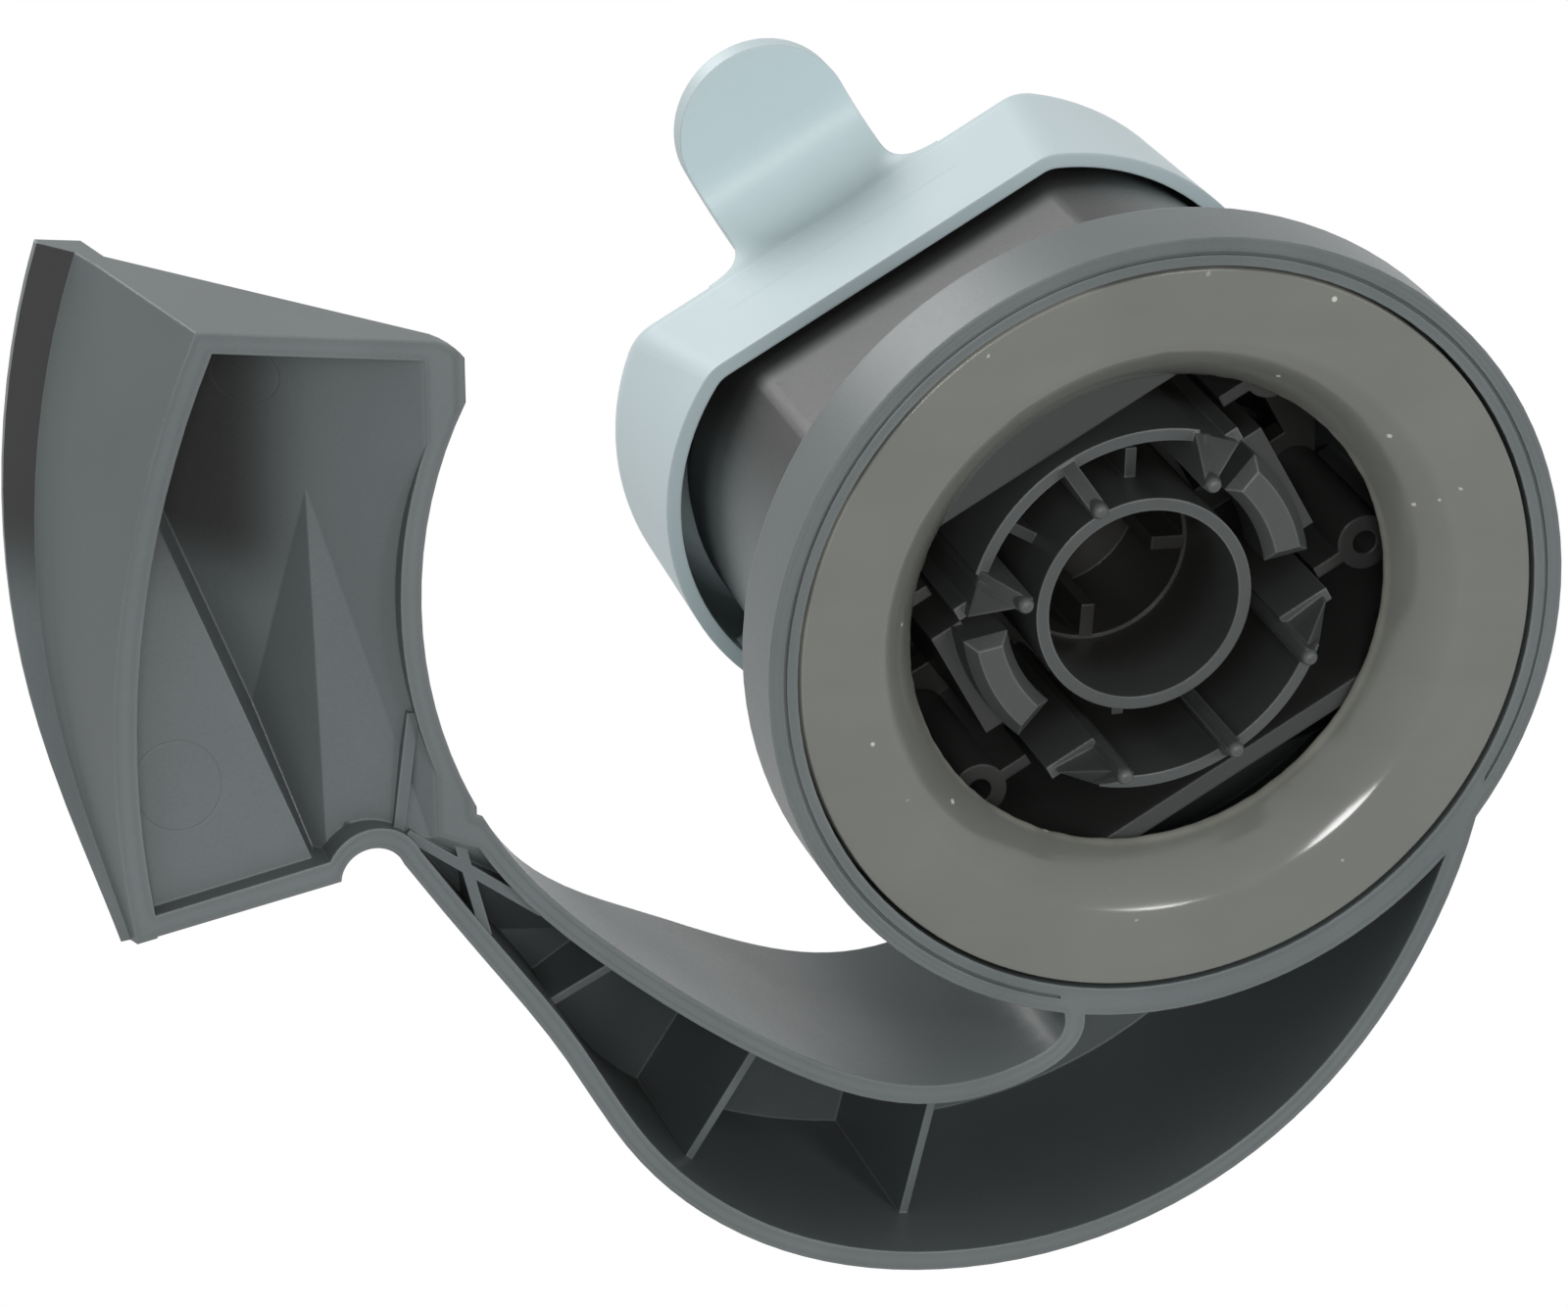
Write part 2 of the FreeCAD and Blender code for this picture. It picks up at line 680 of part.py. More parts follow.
def tower_ribs():
    """Cross ribs and screw bosses inside the tower, which carry the hub plate and the lid."""
    made = []
    limit = half_wall()
    length = size.tower_end_offset + size.tower_end_radius
    depth = size.plate_height - size.rib_bottom
    for side in (-1, 1):
        for end in (-1, 1):
            start = min(end * size.rib_start, end * length)
            rib_y = side * size.rib_offset - size.rib_thickness / 2
            rib = Part.makeBox(length - size.rib_start, size.rib_thickness, depth,
                               Vector(start, rib_y, size.rib_bottom))
            place = Vector(end * size.hub_screw_x, side * size.rib_offset, size.rib_bottom)
            boss = Part.makeCylinder(size.boss_radius, depth, place)
            pilot = Part.makeCylinder(size.screw_radius, depth, place)
            lid_place = Vector(end * size.lid_screw_x, side * size.lid_screw_y,
                               size.tower_top - size.boss_height)
            lid_boss = Part.makeCylinder(size.boss_radius, size.boss_height, lid_place)
            lid_pilot = Part.makeCylinder(size.screw_radius, size.boss_height, lid_place)
            for solid in (rib.fuse(boss).cut(pilot), lid_boss.cut(lid_pilot)):
                solid = turned_about_axis(solid, size.hub_turn).common(limit)
                made.append(feature(f"tower_rib_{len(made) + 1}", solid))
    return made


def half_wall():
    """The tower's inside with half of its wall, so that a rib joins the wall."""
    middle = tower_solid(size.flange_height, size.tower_top, size.tower_wall / 2)
    return turned_about_axis(middle, size.hub_turn)


# Seal ring

def sketch_on(body, role, name):
    plane = [part for part in body.Origin.OriginFeatures if part.Role == role][0]
    sketch = body.newObject("Sketcher::SketchObject", name)
    sketch.AttachmentSupport = [(plane, "")]
    sketch.MapMode = "FlatFace"
    return sketch


def draw_profile(sketch, corners):
    """Draw a closed outline whose corners are pairs of expressions, each bound to the sheet."""
    places = [(worth(x), worth(y)) for x, y in corners]
    count = len(places)
    for index, place in enumerate(places):
        after = places[(index + 1) % count]
        sketch.addGeometry(Part.LineSegment(Vector(*place, 0), Vector(*after, 0)), False)
    for index in range(count):
        sketch.addConstraint(Sketcher.Constraint("Coincident", index, 2, (index + 1) % count, 1))
    for index, place in enumerate(places):
        for kind, value, expression in zip(("DistanceX", "DistanceY"), place, corners[index]):
            number = sketch.addConstraint(Sketcher.Constraint(kind, -1, 1, index, 1, value))
            sketch.setExpression(f"Constraints[{number}]", link(expression))


def revolved(name, corners):
    """A body turned about the Z axis from a profile of radius and height."""
    body = doc.addObject("PartDesign::Body", name)
    sketch = sketch_on(body, "XZ_Plane", name + "_profile")
    draw_profile(sketch, corners)
    doc.recompute()
    turn = body.newObject("PartDesign::Revolution", name + "_turn")
    turn.Profile = sketch
    turn.ReferenceAxis = (sketch, ["V_Axis"])
    turn.Angle = 360
    body.Tip = turn
    doc.recompute()
    return body


def make_seal_ring():
    """A soft ring: an outer wall up to the seat, a flat face and a funnel to its hole."""
    seat = "flange_height - flange_plate"
    corners = [
        ("seal_radius", "seal_face"),
        ("seal_radius", seat),
        ("seal_radius - seal_wall", seat),
        ("seal_radius - seal_wall", "seal_face + seal_wall"),
        ("seal_flat_radius + seal_wall * 0.4", "seal_face + seal_wall"),
        ("seal_hole_radius + seal_wall * 0.8", "seal_face + seal_funnel_rise"),
        ("seal_hole_radius", "seal_face + seal_funnel_rise"),
        ("seal_hole_radius", "seal_face + seal_funnel_rise - seal_lip"),
        ("seal_hole_radius + seal_knee_width", "seal_face + seal_knee_height"),
        ("seal_flat_radius", "seal_face"),
    ]
    sub_part(revolved("seal", corners), "seal_ring", False)


# Drive hub, with its corners as signs along the hub's X and Y

CORNERS = ((-1, -1), (-1, 1), (1, -1), (1, 1))


def polar(radius, degrees, height=0.0):
    """A point at an angle measured from the Y axis towards X."""
    turn = math.radians(degrees)
    return Vector(radius * math.sin(turn), radius * math.cos(turn), height)


def ring_sector(inner, outer, bottom, top, middle, half_angle):
    """A piece of a tube about the axis, centred on an angle measured from the Y axis."""
    start = 90 - middle - half_angle
    sector = Part.makeCylinder(outer, top - bottom, Vector(0, 0, bottom), UP, 2 * half_angle)
    sector = sector.cut(Part.makeCylinder(inner, top - bottom, Vector(0, 0, bottom)))
    sector.rotate(ORIGIN, UP, start)
    return sector


def upright_blade(profile, thickness, degrees):
    """A radial blade whose profile is given as radius and height, at an angle from the Y axis."""
    face = prism([(-thickness / 2, radius, height) for radius, height in profile], Vector(thickness, 0, 0))
    return turned_about_axis(face, -degrees)


def guide_pin(degrees):
    """A round-nosed guide pin at the foot of a gusset."""
    nose = size.guide_pin_radius
    place = polar(size.guide_pin_circle, degrees, nose)
    rod = Part.makeCylinder(nose, size.plate_height - nose, place)
    return rod.fuse(Part.makeSphere(nose, place))


def gusset(degrees):
    """A radial gusset from the arc wall to its guide pin."""
    foot, top = size.guide_pin_circle, size.plate_height
    rim, back = size.arc_outer_radius - size.root_depth, foot - size.gusset_back
    profile = [(foot, size.gusset_foot), (rim, size.arc_rim), (rim, top), (back, top),
               (back, size.guide_pin_radius)]
    return upright_blade(profile, size.gusset_thickness, degrees)


def wedge(degrees, sign):
    """A thick bevelled wedge beside an end gusset, wider at the arc than at the pin."""
    rim, foot = size.arc_outer_radius - size.root_depth, size.guide_pin_circle - size.gusset_back
    outer_angle = degrees + sign * (size.wedge_angle - size.gusset_angle)
    low = [polar(foot, degrees, size.guide_pin_radius),
           polar(rim, degrees, size.arc_rim - size.wedge_fall),
           polar(rim, outer_angle, size.arc_rim + size.wedge_rise)]
    high = [Vector(point.x, point.y, size.plate_height) for point in low]
    faces = [Part.Face(Part.makePolygon(ring + ring[:1])) for ring in (low, high)]
    for index in range(3):
        after = (index + 1) % 3
        ring = [low[index], low[after], high[after], high[index]]
        faces.append(Part.Face(Part.makePolygon(ring + ring[:1])))
    return Part.makeSolid(Part.makeShell(faces))


def hub_side(middle):
    """The arc wall, gussets, wedges and small webs on one side of the drive tube."""
    top, root = size.plate_height, size.tube_radius - size.root_depth
    pieces = [ring_sector(size.arc_inner_radius, size.arc_outer_radius, size.arc_rim, top, middle,
                          size.arc_half_angle)]
    for step in (-1, 0, 1):
        angle = middle + step * size.gusset_angle
        pieces += [gusset(angle), guide_pin(angle)]
        if step:
            pieces.append(wedge(angle, step))
            web = [(root, size.rib_bottom), (size.web_radius, size.rib_bottom),
                   (size.web_radius, top), (root, top)]
            pieces.append(upright_blade(web, size.web_thickness, middle + step * size.web_angle))
    return pieces


def guide_walls():
    """Four upright walls, one beside each corner of the jaws' slots."""
    length = size.guide_wall_end - size.guide_wall_start
    depth = size.plate_height - size.mouth_height
    walls = []
    for end, side in CORNERS:
        start_x = min(end * size.guide_wall_start, end * size.guide_wall_end)
        middle_y = side * (size.guide_wall_offset + size.guide_wall_thickness / 2)
        place = Vector(start_x, middle_y - size.guide_wall_thickness / 2, size.mouth_height)
        walls.append(Part.makeBox(length, size.guide_wall_thickness, depth, place))
    return walls


def ear(end, side):
    """A bearing ear on the hub plate for a jaw's pin."""
    bottom = size.plate_height + size.hub_plate - size.root_depth
    half = size.ear_half_length
    start_y = side * (size.ear_offset + size.ear_thickness / 2) - size.ear_thickness / 2
    upright = Part.makeBox(2 * half, size.ear_thickness, size.jaw_pivot_height - bottom,
                           Vector(end * size.jaw_pivot - half, start_y, bottom))
    round_top = Part.makeCylinder(half, size.ear_thickness,
                                  Vector(end * size.jaw_pivot, start_y, size.jaw_pivot_height),
                                  Vector(0, 1, 0))
    return upright.fuse(round_top)


def hub_openings():
    """The bore, the socket above it, the jaws' slots, the screw holes and the jaw pins' holes."""
    bore = cylinder("drive_bore", "bore_radius", "drive_rib_height - mouth_height", z="mouth_height")
    socket = cylinder("drive_socket", "socket_radius",
                      "plate_height + hub_plate - drive_rib_height + root_depth",
                      z="drive_rib_height - root_depth")
    openings = [bore, socket]
    for side, start in (("right", "jaw_slot_start"), ("left", "-jaw_slot_start - jaw_slot_length")):
        openings.append(box("jaw_slot_" + side, "jaw_slot_length", "2 * (jaw_half_width + slot_play)",
                            "2 * hub_plate", start, "-jaw_half_width - slot_play",
                            "plate_height - 0.5 * hub_plate"))
    for index, (end, side) in enumerate(CORNERS, start=1):
        openings.append(cylinder(f"hub_screw_hole_{index}", "screw_radius + pin_play", "2 * hub_plate",
                                 f"{end} * hub_screw_x", f"{side} * rib_offset",
                                 "plate_height - 0.5 * hub_plate"))
    for side, centre in (("right", "jaw_pivot"), ("left", "-jaw_pivot")):
        openings.append(cylinder("jaw_pin_hole_" + side, "jaw_pin_radius", "4 * tube_radius", centre,
                                 "-2 * tube_radius", "jaw_pivot_height", "Y"))
    return openings


def drive_ribs():
    """Four upright ribs in the socket, which the appliance's post turns."""
    outer = size.bore_radius + size.root_depth
    bottom, top = size.drive_rib_height, size.plate_height + size.hub_plate + size.root_depth
    profile = [(size.drive_rib_radius, bottom), (outer, bottom), (outer, top), (size.drive_rib_radius, top)]
    return [feature(f"drive_rib_{index + 1}",
                    upright_blade(profile, size.drive_rib_thickness, 90 * index + size.hub_turn))
            for index in range(4)]


def make_drive_hub():
    """The moulded core: plate, drive tube, arc walls with gussets, guide walls and jaw ears."""
    top, mouth = size.plate_height, size.mouth_height
    plate = straight_plate(top, size.hub_plate, size.tower_wall + size.hub_inset, top)
    tube = Part.makeCylinder(size.tube_radius, top - mouth + size.root_depth, Vector(0, 0, mouth))
    cap = Part.makeCylinder(size.tube_radius, size.hub_plate + size.hub_top_wall, Vector(0, 0, top))
    solids = [tube, cap] + hub_side(0) + hub_side(180) + guide_walls()
    solids += [ear(end, side) for end, side in CORNERS]
    core = feature("hub_core", plate.fuse(solids))
    sub_part(fuse("hub", [cut("hub_cut", core, hub_openings())] + drive_ribs()), "drive_hub", True)


# Screws

def make_screw(label, x, y, seat):
    """A pan-head screw with a cross recess; its head rests on the seat height."""
    head = cylinder(label + "_head", "screw_head_radius", "screw_head_height", z=0)
    shank = cylinder(label + "_shank", "screw_radius", "screw_length", z="-screw_length")
    recess = {"height": "screw_head_height", "z": "screw_head_height * 0.5"}
    slot_a = box(label + "_slot_a", "2 * recess_half_length", "recess_width",
                 x="-recess_half_length", y="-0.5 * recess_width", **recess)
    slot_b = box(label + "_slot_b", "recess_width", "2 * recess_half_length",
                 x="-0.5 * recess_width", y="-recess_half_length", **recess)
    screw = cut(label + "_cut", fuse(label + "_blank", [head, shank]), [slot_a, slot_b])
    place_on_hub(screw, x, y, seat)
    screw.Label = label
    subparts.append(screw)


def place_on_hub(thing, x, y, height):
    """Place a piece by coordinates on the hub's own axes."""
    turn = "Sizes.hub_turn * 1 deg"
    thing.Placement = Placement(ORIGIN, Rotation(UP, size.hub_turn))
    thing.setExpression("Placement.Base.x", f"({link(x)}) * cos({turn}) - ({link(y)}) * sin({turn})")
    thing.setExpression("Placement.Base.y", f"({link(x)}) * sin({turn}) + ({link(y)}) * cos({turn})")
    thing.setExpression("Placement.Base.z", link(f"{height} - mouth_height"))
    thing.setExpression("Placement.Rotation.Angle", "-Sizes.hub_turn")
    thing.setExpression("Placement.Rotation.Axis.z", "-1")


def make_screws():
    for index, (end, side) in enumerate(CORNERS, start=1):
        make_screw(f"hub_screw_{index}", f"{end} * hub_screw_x", f"{side} * rib_offset",
                   "plate_height + hub_plate")
        make_screw(f"lid_screw_{index}", f"{end} * lid_screw_x", f"{side} * lid_screw_y",
                   "tower_top + lid_thickness")


# Tower lid

def make_tower_lid():
    """A flat lid on the tower, with a slot for the yoke's stem and four screw holes."""
    plate = feature("lid_plate", straight_plate(size.tower_top, size.lid_thickness, size.lid_inset,
                                                size.tower_top))
    slot = box("stem_slot", "2 * (stem_half_length + seat_gap)", "stem_front + stem_back + 2 * seat_gap",
               "lid_thickness * 2", "-stem_half_length - seat_gap",
               "-yoke_pin_front - stem_front - seat_gap",
               "tower_top - 0.5 * lid_thickness")
    holes = [cylinder(f"lid_screw_hole_{index}", "screw_radius + pin_play", "lid_thickness * 2",
                      f"{end} * lid_screw_x", f"{side} * lid_screw_y", "tower_top - 0.5 * lid_thickness")
             for index, (end, side) in enumerate(CORNERS, start=1)]
    sub_part(cut("lid", plate, [slot] + holes), "tower_lid", True)


# Latch jaws, their pins and springs

def make_jaw(label, end):
    """A claw with a bevelled foot, an arm, a pivot boss and a slanted tail for the yoke's finger."""
    half = size.jaw_half_width
    angle = math.degrees(math.asin(half / size.jaw_outer_radius))
    bottom, pivot_z = size.jaw_bottom, size.jaw_pivot_height
    claw = ring_sector(size.jaw_inner_radius, size.jaw_outer_radius, bottom, bottom + size.claw_height,
                       end * 90, angle)
    edges = [edge for edge in claw.Edges if edge.BoundBox.ZMax < bottom + 0.01]
    claw = claw.makeChamfer(size.claw_chamfer, edges)
    outer = size.jaw_pivot + size.jaw_thickness / 2
    inner = outer - size.jaw_thickness
    arm_bottom = bottom + size.jaw_arm_start
    arm = Part.makeBox(size.jaw_thickness, 2 * half, pivot_z - arm_bottom,
                       Vector(min(end * inner, end * outer), -half, arm_bottom))
    slant = size.finger_slope * (size.jaw_top - pivot_z)
    tail = [(end * inner, -half, size.jaw_top), (end * outer, -half, size.jaw_top),
            (end * (outer - slant), -half, pivot_z), (end * inner, -half, pivot_z)]
    boss = Part.makeCylinder(size.jaw_boss_radius, 2 * half, Vector(end * size.jaw_pivot, -half, pivot_z),
                             Vector(0, 1, 0))
    post_start = inner - size.spring_post_length + size.root_depth
    post = Part.makeCylinder(size.spring_post_radius, size.spring_post_length,
                             Vector(end * post_start, 0, size.jaw_spring_height), Vector(end, 0, 0))
    side = "right" if end == 1 else "left"
    blank = feature(f"jaw_blank_{side}", claw.fuse([arm, prism(tail, Vector(0, 2 * half, 0)), boss, post]))
    centre = "jaw_pivot" if end == 1 else "-jaw_pivot"
    hole = cylinder(f"jaw_hole_{side}", "jaw_pin_radius + pin_play", "2 * (jaw_half_width + tool_overrun)",
                    centre, "-jaw_half_width - tool_overrun", "jaw_pivot_height", "Y")
    sub_part(cut(f"jaw_{side}", blank, [hole]), label, True)


def chamfered(name, rod, width):
    """A rod with both ends chamfered."""
    made = doc.addObject("Part::Chamfer", name)
    made.Base = rod
    made.Edges = [(1, width, width), (3, width, width)]
    return made


def make_pins():
    """Jaw pins in the hub's ears, hinge pins in the tower's wall and the lever's own pin."""
    for side, sign in (("left", -1), ("right", 1)):
        rod = cylinder(f"jaw_rod_{side}", "jaw_pin_radius", "2 * (ear_offset + ear_thickness)",
                       f"{sign} * jaw_pivot", "-ear_offset - ear_thickness", "jaw_pivot_height", "Y")
        sub_part(chamfered(f"jaw_pin_{side}_solid", rod, size.pin_chamfer), f"jaw_pin_{side}", True)
        start = "hinge_pin_start" if sign == 1 else "-hinge_pin_end + lever_shift"
        length = f"hinge_pin_end + {sign} * lever_shift - hinge_pin_start"
        rod = cylinder(f"hinge_rod_{side}", "hinge_pin_radius", length, start,
                       "hinge_back", "hinge_height", "X")
        sub_part(chamfered(f"hinge_pin_{side}_solid", rod, size.pin_chamfer), f"hinge_pin_{side}", True)
    rod = cylinder("yoke_pin_rod", "yoke_pin_radius", "2 * yoke_pin_half_length", "-yoke_pin_half_length",
                   "-yoke_pin_front", "yoke_pin_height", "X")
    sub_part(chamfered("yoke_pin_solid", rod, size.pin_chamfer), "yoke_pin", True)


def coil(radius, wire, length, turns):
    """A spring along Z from height 0: half rings, each tilted so that it climbs half of the pitch."""
    halves = round(2 * turns)
    climb = (length - wire) / halves
    tilt = math.degrees(math.asin(climb / (2 * radius)))
    rings = []
    for index in range(halves):
        ring = Part.makeTorus(radius, wire / 2, ORIGIN, UP, -180, 180, 180)
        ring.rotate(ORIGIN, Vector(0, 1, 0), tilt)
        ring.rotate(ORIGIN, UP, 180 * (index % 2))
        ring.translate(UP * (wire / 2 + climb * (index + 0.5)))
        rings.append(ring)
    return rings[0].fuse(rings[1:])


def make_springs():
    """The yoke's spring under the lid, and one spring between the tops of the two jaws."""
    clear = size.seat_gap / 2
    base = size.yoke_height + size.yoke_bar + clear
    spring = coil(size.yoke_spring_radius, size.yoke_spring_wire, size.tower_top - clear - base,
                  size.yoke_spring_turns)
    spring.translate(Vector(0, stem_centre(), base))
    sub_part(feature("yoke_coil", settled(spring)), "yoke_spring", True)
    inner = size.jaw_pivot - size.jaw_thickness / 2 - clear
    spring = coil(size.jaw_spring_radius, size.jaw_spring_wire, 2 * inner, size.jaw_spring_turns)
    spring.rotate(ORIGIN, Vector(0, 1, 0), 90)
    spring.translate(Vector(-inner, 0, size.jaw_spring_height))
    sub_part(feature("jaw_coil", settled(spring)), "jaw_spring", True)


# Latch yoke

def stem_centre():
    return -size.yoke_pin_front + (size.stem_back - size.stem_front) / 2


def finger(end):
    """A wedge finger outside a jaw's top, slanted so that it pushes the top inwards as it rises."""
    contact = size.jaw_pivot + size.jaw_thickness / 2 + size.seat_gap
    half = size.yoke_half_width
    top = size.yoke_height + size.yoke_bar / 2
    low_x = contact + size.finger_slope * (size.finger_bottom - size.jaw_top)
    high_x = contact + size.finger_slope * (top - size.jaw_top)
    corners = [(low_x, size.finger_bottom), (size.yoke_half_length, size.finger_bottom),
               (size.yoke_half_length, top), (high_x, top)]
    return prism([(end * x, -half, z) for x, z in corners], Vector(0, 2 * half, 0))


def make_latch_yoke():
    """A crossbar with two fingers, a spring disc, and a stem with a slot for the lever's pin."""
    bar = box("yoke_crossbar", "2 * yoke_half_length", "2 * yoke_half_width", "yoke_bar",
              "-yoke_half_length", "-yoke_half_width", "yoke_height")
    disc = cylinder("yoke_disc", "yoke_disc_radius", "yoke_bar", 0,
                    "-yoke_pin_front + (stem_back - stem_front) / 2", "yoke_height")
    stem = box("yoke_stem", "2 * stem_half_length", "stem_front + stem_back", "stem_top - yoke_height",
               "-stem_half_length", "-yoke_pin_front - stem_front", "yoke_height")
    fingers = feature("yoke_fingers", finger(1).fuse(finger(-1)))
    blank = fuse("yoke_blank", [bar, disc, stem, fingers])
    across, start = "2 * (stem_half_length + tool_overrun)", "-stem_half_length - tool_overrun"
    slot = box("pin_slot", across, "yoke_pin_travel", "2 * (yoke_pin_radius + slot_play)",
               start, "-yoke_pin_front", "yoke_pin_height - yoke_pin_radius - slot_play")
    ends = [cylinder(f"pin_slot_end_{index}", "yoke_pin_radius + slot_play", across, start,
                     place, "yoke_pin_height", "X")
            for index, place in enumerate(("-yoke_pin_front", "-yoke_pin_front + yoke_pin_travel"), start=1)]
    sub_part(cut("yoke", blank, [slot] + ends), "latch_yoke", True)


# Release lever

def lever_outline(height, inset):
    """The cap's outline at a height, drawn in by its drafts and by insets at its sides and ends."""
    rise = height - size.lever_rim
    side_inset, end_inset = inset
    half_depth = size.lever_half_depth + size.lever_wall - side_inset - rise * slope(size.lever_front_draft)
    end_radius = size.lever_end_radius + size.lever_wall - end_inset - rise * slope(size.lever_end_draft)
    return lozenge(half_depth, end_radius, max(size.lever_corner - end_inset, 1.0), height)


def cap_solid(inset, bottom):
    """The cap's outside, or its inside for an inset of one wall: drafted sides and a rounded top."""
    shoulder = size.lever_top - size.lever_rounding
    skirt = loft([lever_outline(bottom, (inset, inset)), lever_outline(shoulder, (inset, inset))], True)
    rings = []
    for degrees in (0, 18, 36, 54, 72, 90):
        turn = math.radians(degrees)
        side = inset + (size.lever_front_rounding - inset) * (1 - math.cos(turn))
        end = inset + (size.lever_end_rounding - inset) * (1 - math.cos(turn))
        ring = lever_outline(shoulder, (side, end))
        ring.translate(Vector(0, 0, (size.lever_rounding - inset) * math.sin(turn)))
        rings.append(ring)
    cap = skirt.fuse(loft(rings, False))
    cap.translate(Vector(size.lever_shift, 0, 0))
    return cap


def tab_plate():
    """The finger tab: it goes on upwards from the front wall, bends outwards and ends round."""
    half, thick, bend = size.tab_half_width, size.tab_thickness, size.tab_bend
    lean = math.radians(size.lever_front_draft)
    centre_z = size.tab_height - thick / 2 - bend
    start_z = centre_z - bend * math.sin(lean)
    front = size.lever_half_depth + size.lever_wall - (start_z - size.lever_rim) * math.tan(lean)
    centre_y = -front + thick / 2 - bend * math.cos(lean)

    def on_bend(radius, heading):
        return Vector(0, centre_y + radius * math.cos(heading), centre_z - radius * math.sin(heading))

    def foot(radius):
        reach_down = (start_z - size.lever_rim) * size.tab_foot_share
        return on_bend(radius, lean) - Vector(0, math.sin(lean), math.cos(lean)) * reach_down

    middle = (lean - math.pi / 2) / 2
    inner, outer = bend - thick / 2, bend + thick / 2
    tip = -size.tab_reach - size.tool_overrun
    high, low = Vector(0, tip, centre_z + outer), Vector(0, tip, centre_z + inner)
    edges = [
        Part.makeLine(foot(outer), on_bend(outer, lean)),
        Part.Arc(on_bend(outer, lean), on_bend(outer, middle), on_bend(outer, -math.pi / 2)).toShape(),
        Part.makeLine(on_bend(outer, -math.pi / 2), high),
        Part.makeLine(high, low),
        Part.makeLine(low, on_bend(inner, -math.pi / 2)),
        Part.Arc(on_bend(inner, -math.pi / 2), on_bend(inner, middle), on_bend(inner, lean)).toShape(),
        Part.makeLine(on_bend(inner, lean), foot(inner)),
        Part.makeLine(foot(inner), foot(outer)),
    ]
    face = Part.Face(Part.Wire(Part.__sortEdges__(edges)))
    face.translate(Vector(-2 * half, 0, 0))
    bent = face.extrude(Vector(4 * half, 0, 0))
    tab = bent.common(tab_front_view()).common(tab_plan_view())
    tab.translate(Vector(size.lever_shift + size.tab_shift, 0, 0))
    return tab


def tab_front_view():
    """The tab seen from its front: straight sides that flare into the wall's top edge."""
    half, root = size.tab_half_width, size.tab_root
    base = size.lever_top - root
    flare = root * (1 - math.sqrt(0.5))
    wide, top, bottom = half + root, size.tab_height + root, size.lever_rim
    edges = [Part.makeLine(Vector(-half, 0, top), Vector(half, 0, top)),
             Part.makeLine(Vector(-wide, 0, bottom), Vector(wide, 0, bottom))]
    for side in (-1, 1):
        foot, neck = Vector(side * wide, 0, base), Vector(side * half, 0, base + root)
        middle = Vector(side * (half + flare), 0, base + flare)
        edges.append(Part.Arc(foot, middle, neck).toShape())
        edges.append(Part.makeLine(neck, Vector(side * half, 0, top)))
        edges.append(Part.makeLine(foot, Vector(side * wide, 0, bottom)))
    face = Part.Face(Part.Wire(Part.__sortEdges__(edges)))
    return face.extrude(Vector(0, -2 * size.tab_reach, 0))


def tab_plan_view():
    """The tab seen from above: a half-round tip."""
    half = size.tab_half_width + size.tab_root + size.tool_overrun
    round_y = size.tab_half_width - size.tab_reach
    tip = Part.makeCylinder(size.tab_half_width, 2 * size.tab_height, Vector(0, round_y, 0))
    back = Part.makeBox(2 * half, -round_y, 2 * size.tab_height, Vector(-half, round_y, 0))
    return back.fuse(tip)


def hinge_pad(outside, sign):
    """A round pad on the cap's inside, up to the tower's wall, for the hinge pin."""
    start = Vector(sign * size.hinge_pad_start, size.hinge_back, size.hinge_height)
    pad = Part.makeCylinder(size.hinge_pad_radius, size.lever_end_radius, start, Vector(sign, 0, 0))
    return pad.common(outside)


def pin_lug(outside, sign):
    """A lug that hangs from the cap's top, for the yoke's pin."""
    start = min(sign * size.lug_start, sign * (size.lug_start + size.lug_thickness))
    lug = Part.makeBox(size.lug_thickness, 2 * size.lug_half_width, size.lever_top - size.yoke_pin_height,
                       Vector(start, -size.yoke_pin_front - size.lug_half_width, size.yoke_pin_height))
    eye = Part.makeCylinder(size.lug_half_width, size.lug_thickness,
                            Vector(start, -size.yoke_pin_front, size.yoke_pin_height), Vector(1, 0, 0))
    return lug.fuse(eye).common(outside)


def make_release_lever():
    """The cap with its finger tab, hinge pads and the lugs that carry the yoke's pin."""
    outside = cap_solid(0, size.lever_rim)
    shell = outside.cut(cap_solid(size.lever_wall, size.lever_rim)).fuse(tab_plate())
    wide, low = 2 * size.lever_end_radius, size.lever_rim - size.tool_overrun
    rear = Part.makeBox(2 * wide, wide, size.lever_skirt_cut - low,
                        Vector(-wide, size.hinge_back + size.hinge_pad_radius, low))
    pads = [make(outside, sign) for sign in (-1, 1) for make in (hinge_pad, pin_lug)]
    body = feature("lever_shell", shell.cut(rear).fuse(pads))
    holes = [
        cylinder("yoke_pin_hole", "yoke_pin_radius", "2 * (yoke_pin_half_length + tool_overrun)",
                 "-yoke_pin_half_length - tool_overrun", "-yoke_pin_front", "yoke_pin_height", "X"),
        cylinder("hinge_hole", "hinge_pin_radius + pin_play", "4 * hinge_pin_end", "-2 * hinge_pin_end",
                 "hinge_back", "hinge_height", "X"),
    ]
    sub_part(cut("lever", body, holes), "release_lever", True)


def check_and_export():
    """Test every object's state and each piece's shape, then write the pieces."""
    doc.recompute()
    failed = [thing.Name for thing in doc.Objects if {"Invalid", "Error"} & set(thing.State)]
    if failed:
        raise RuntimeError(f"objects that failed: {failed}")
    for piece in subparts:
        if piece.Shape.isNull() or not piece.Shape.isValid():
            raise RuntimeError(f"{piece.Label} has no valid shape")
    for piece in subparts:
        piece.Shape.exportStep(f"parts/{piece.Label}.step")
        extent = piece.Shape.BoundBox
        print(f"{piece.Label}: {len(piece.Shape.Solids)} solid, {piece.Shape.Volume / 1000:.2f} cm3, "
              f"{extent.XLength:.1f} x {extent.YLength:.1f} x {extent.ZLength:.1f} mm")


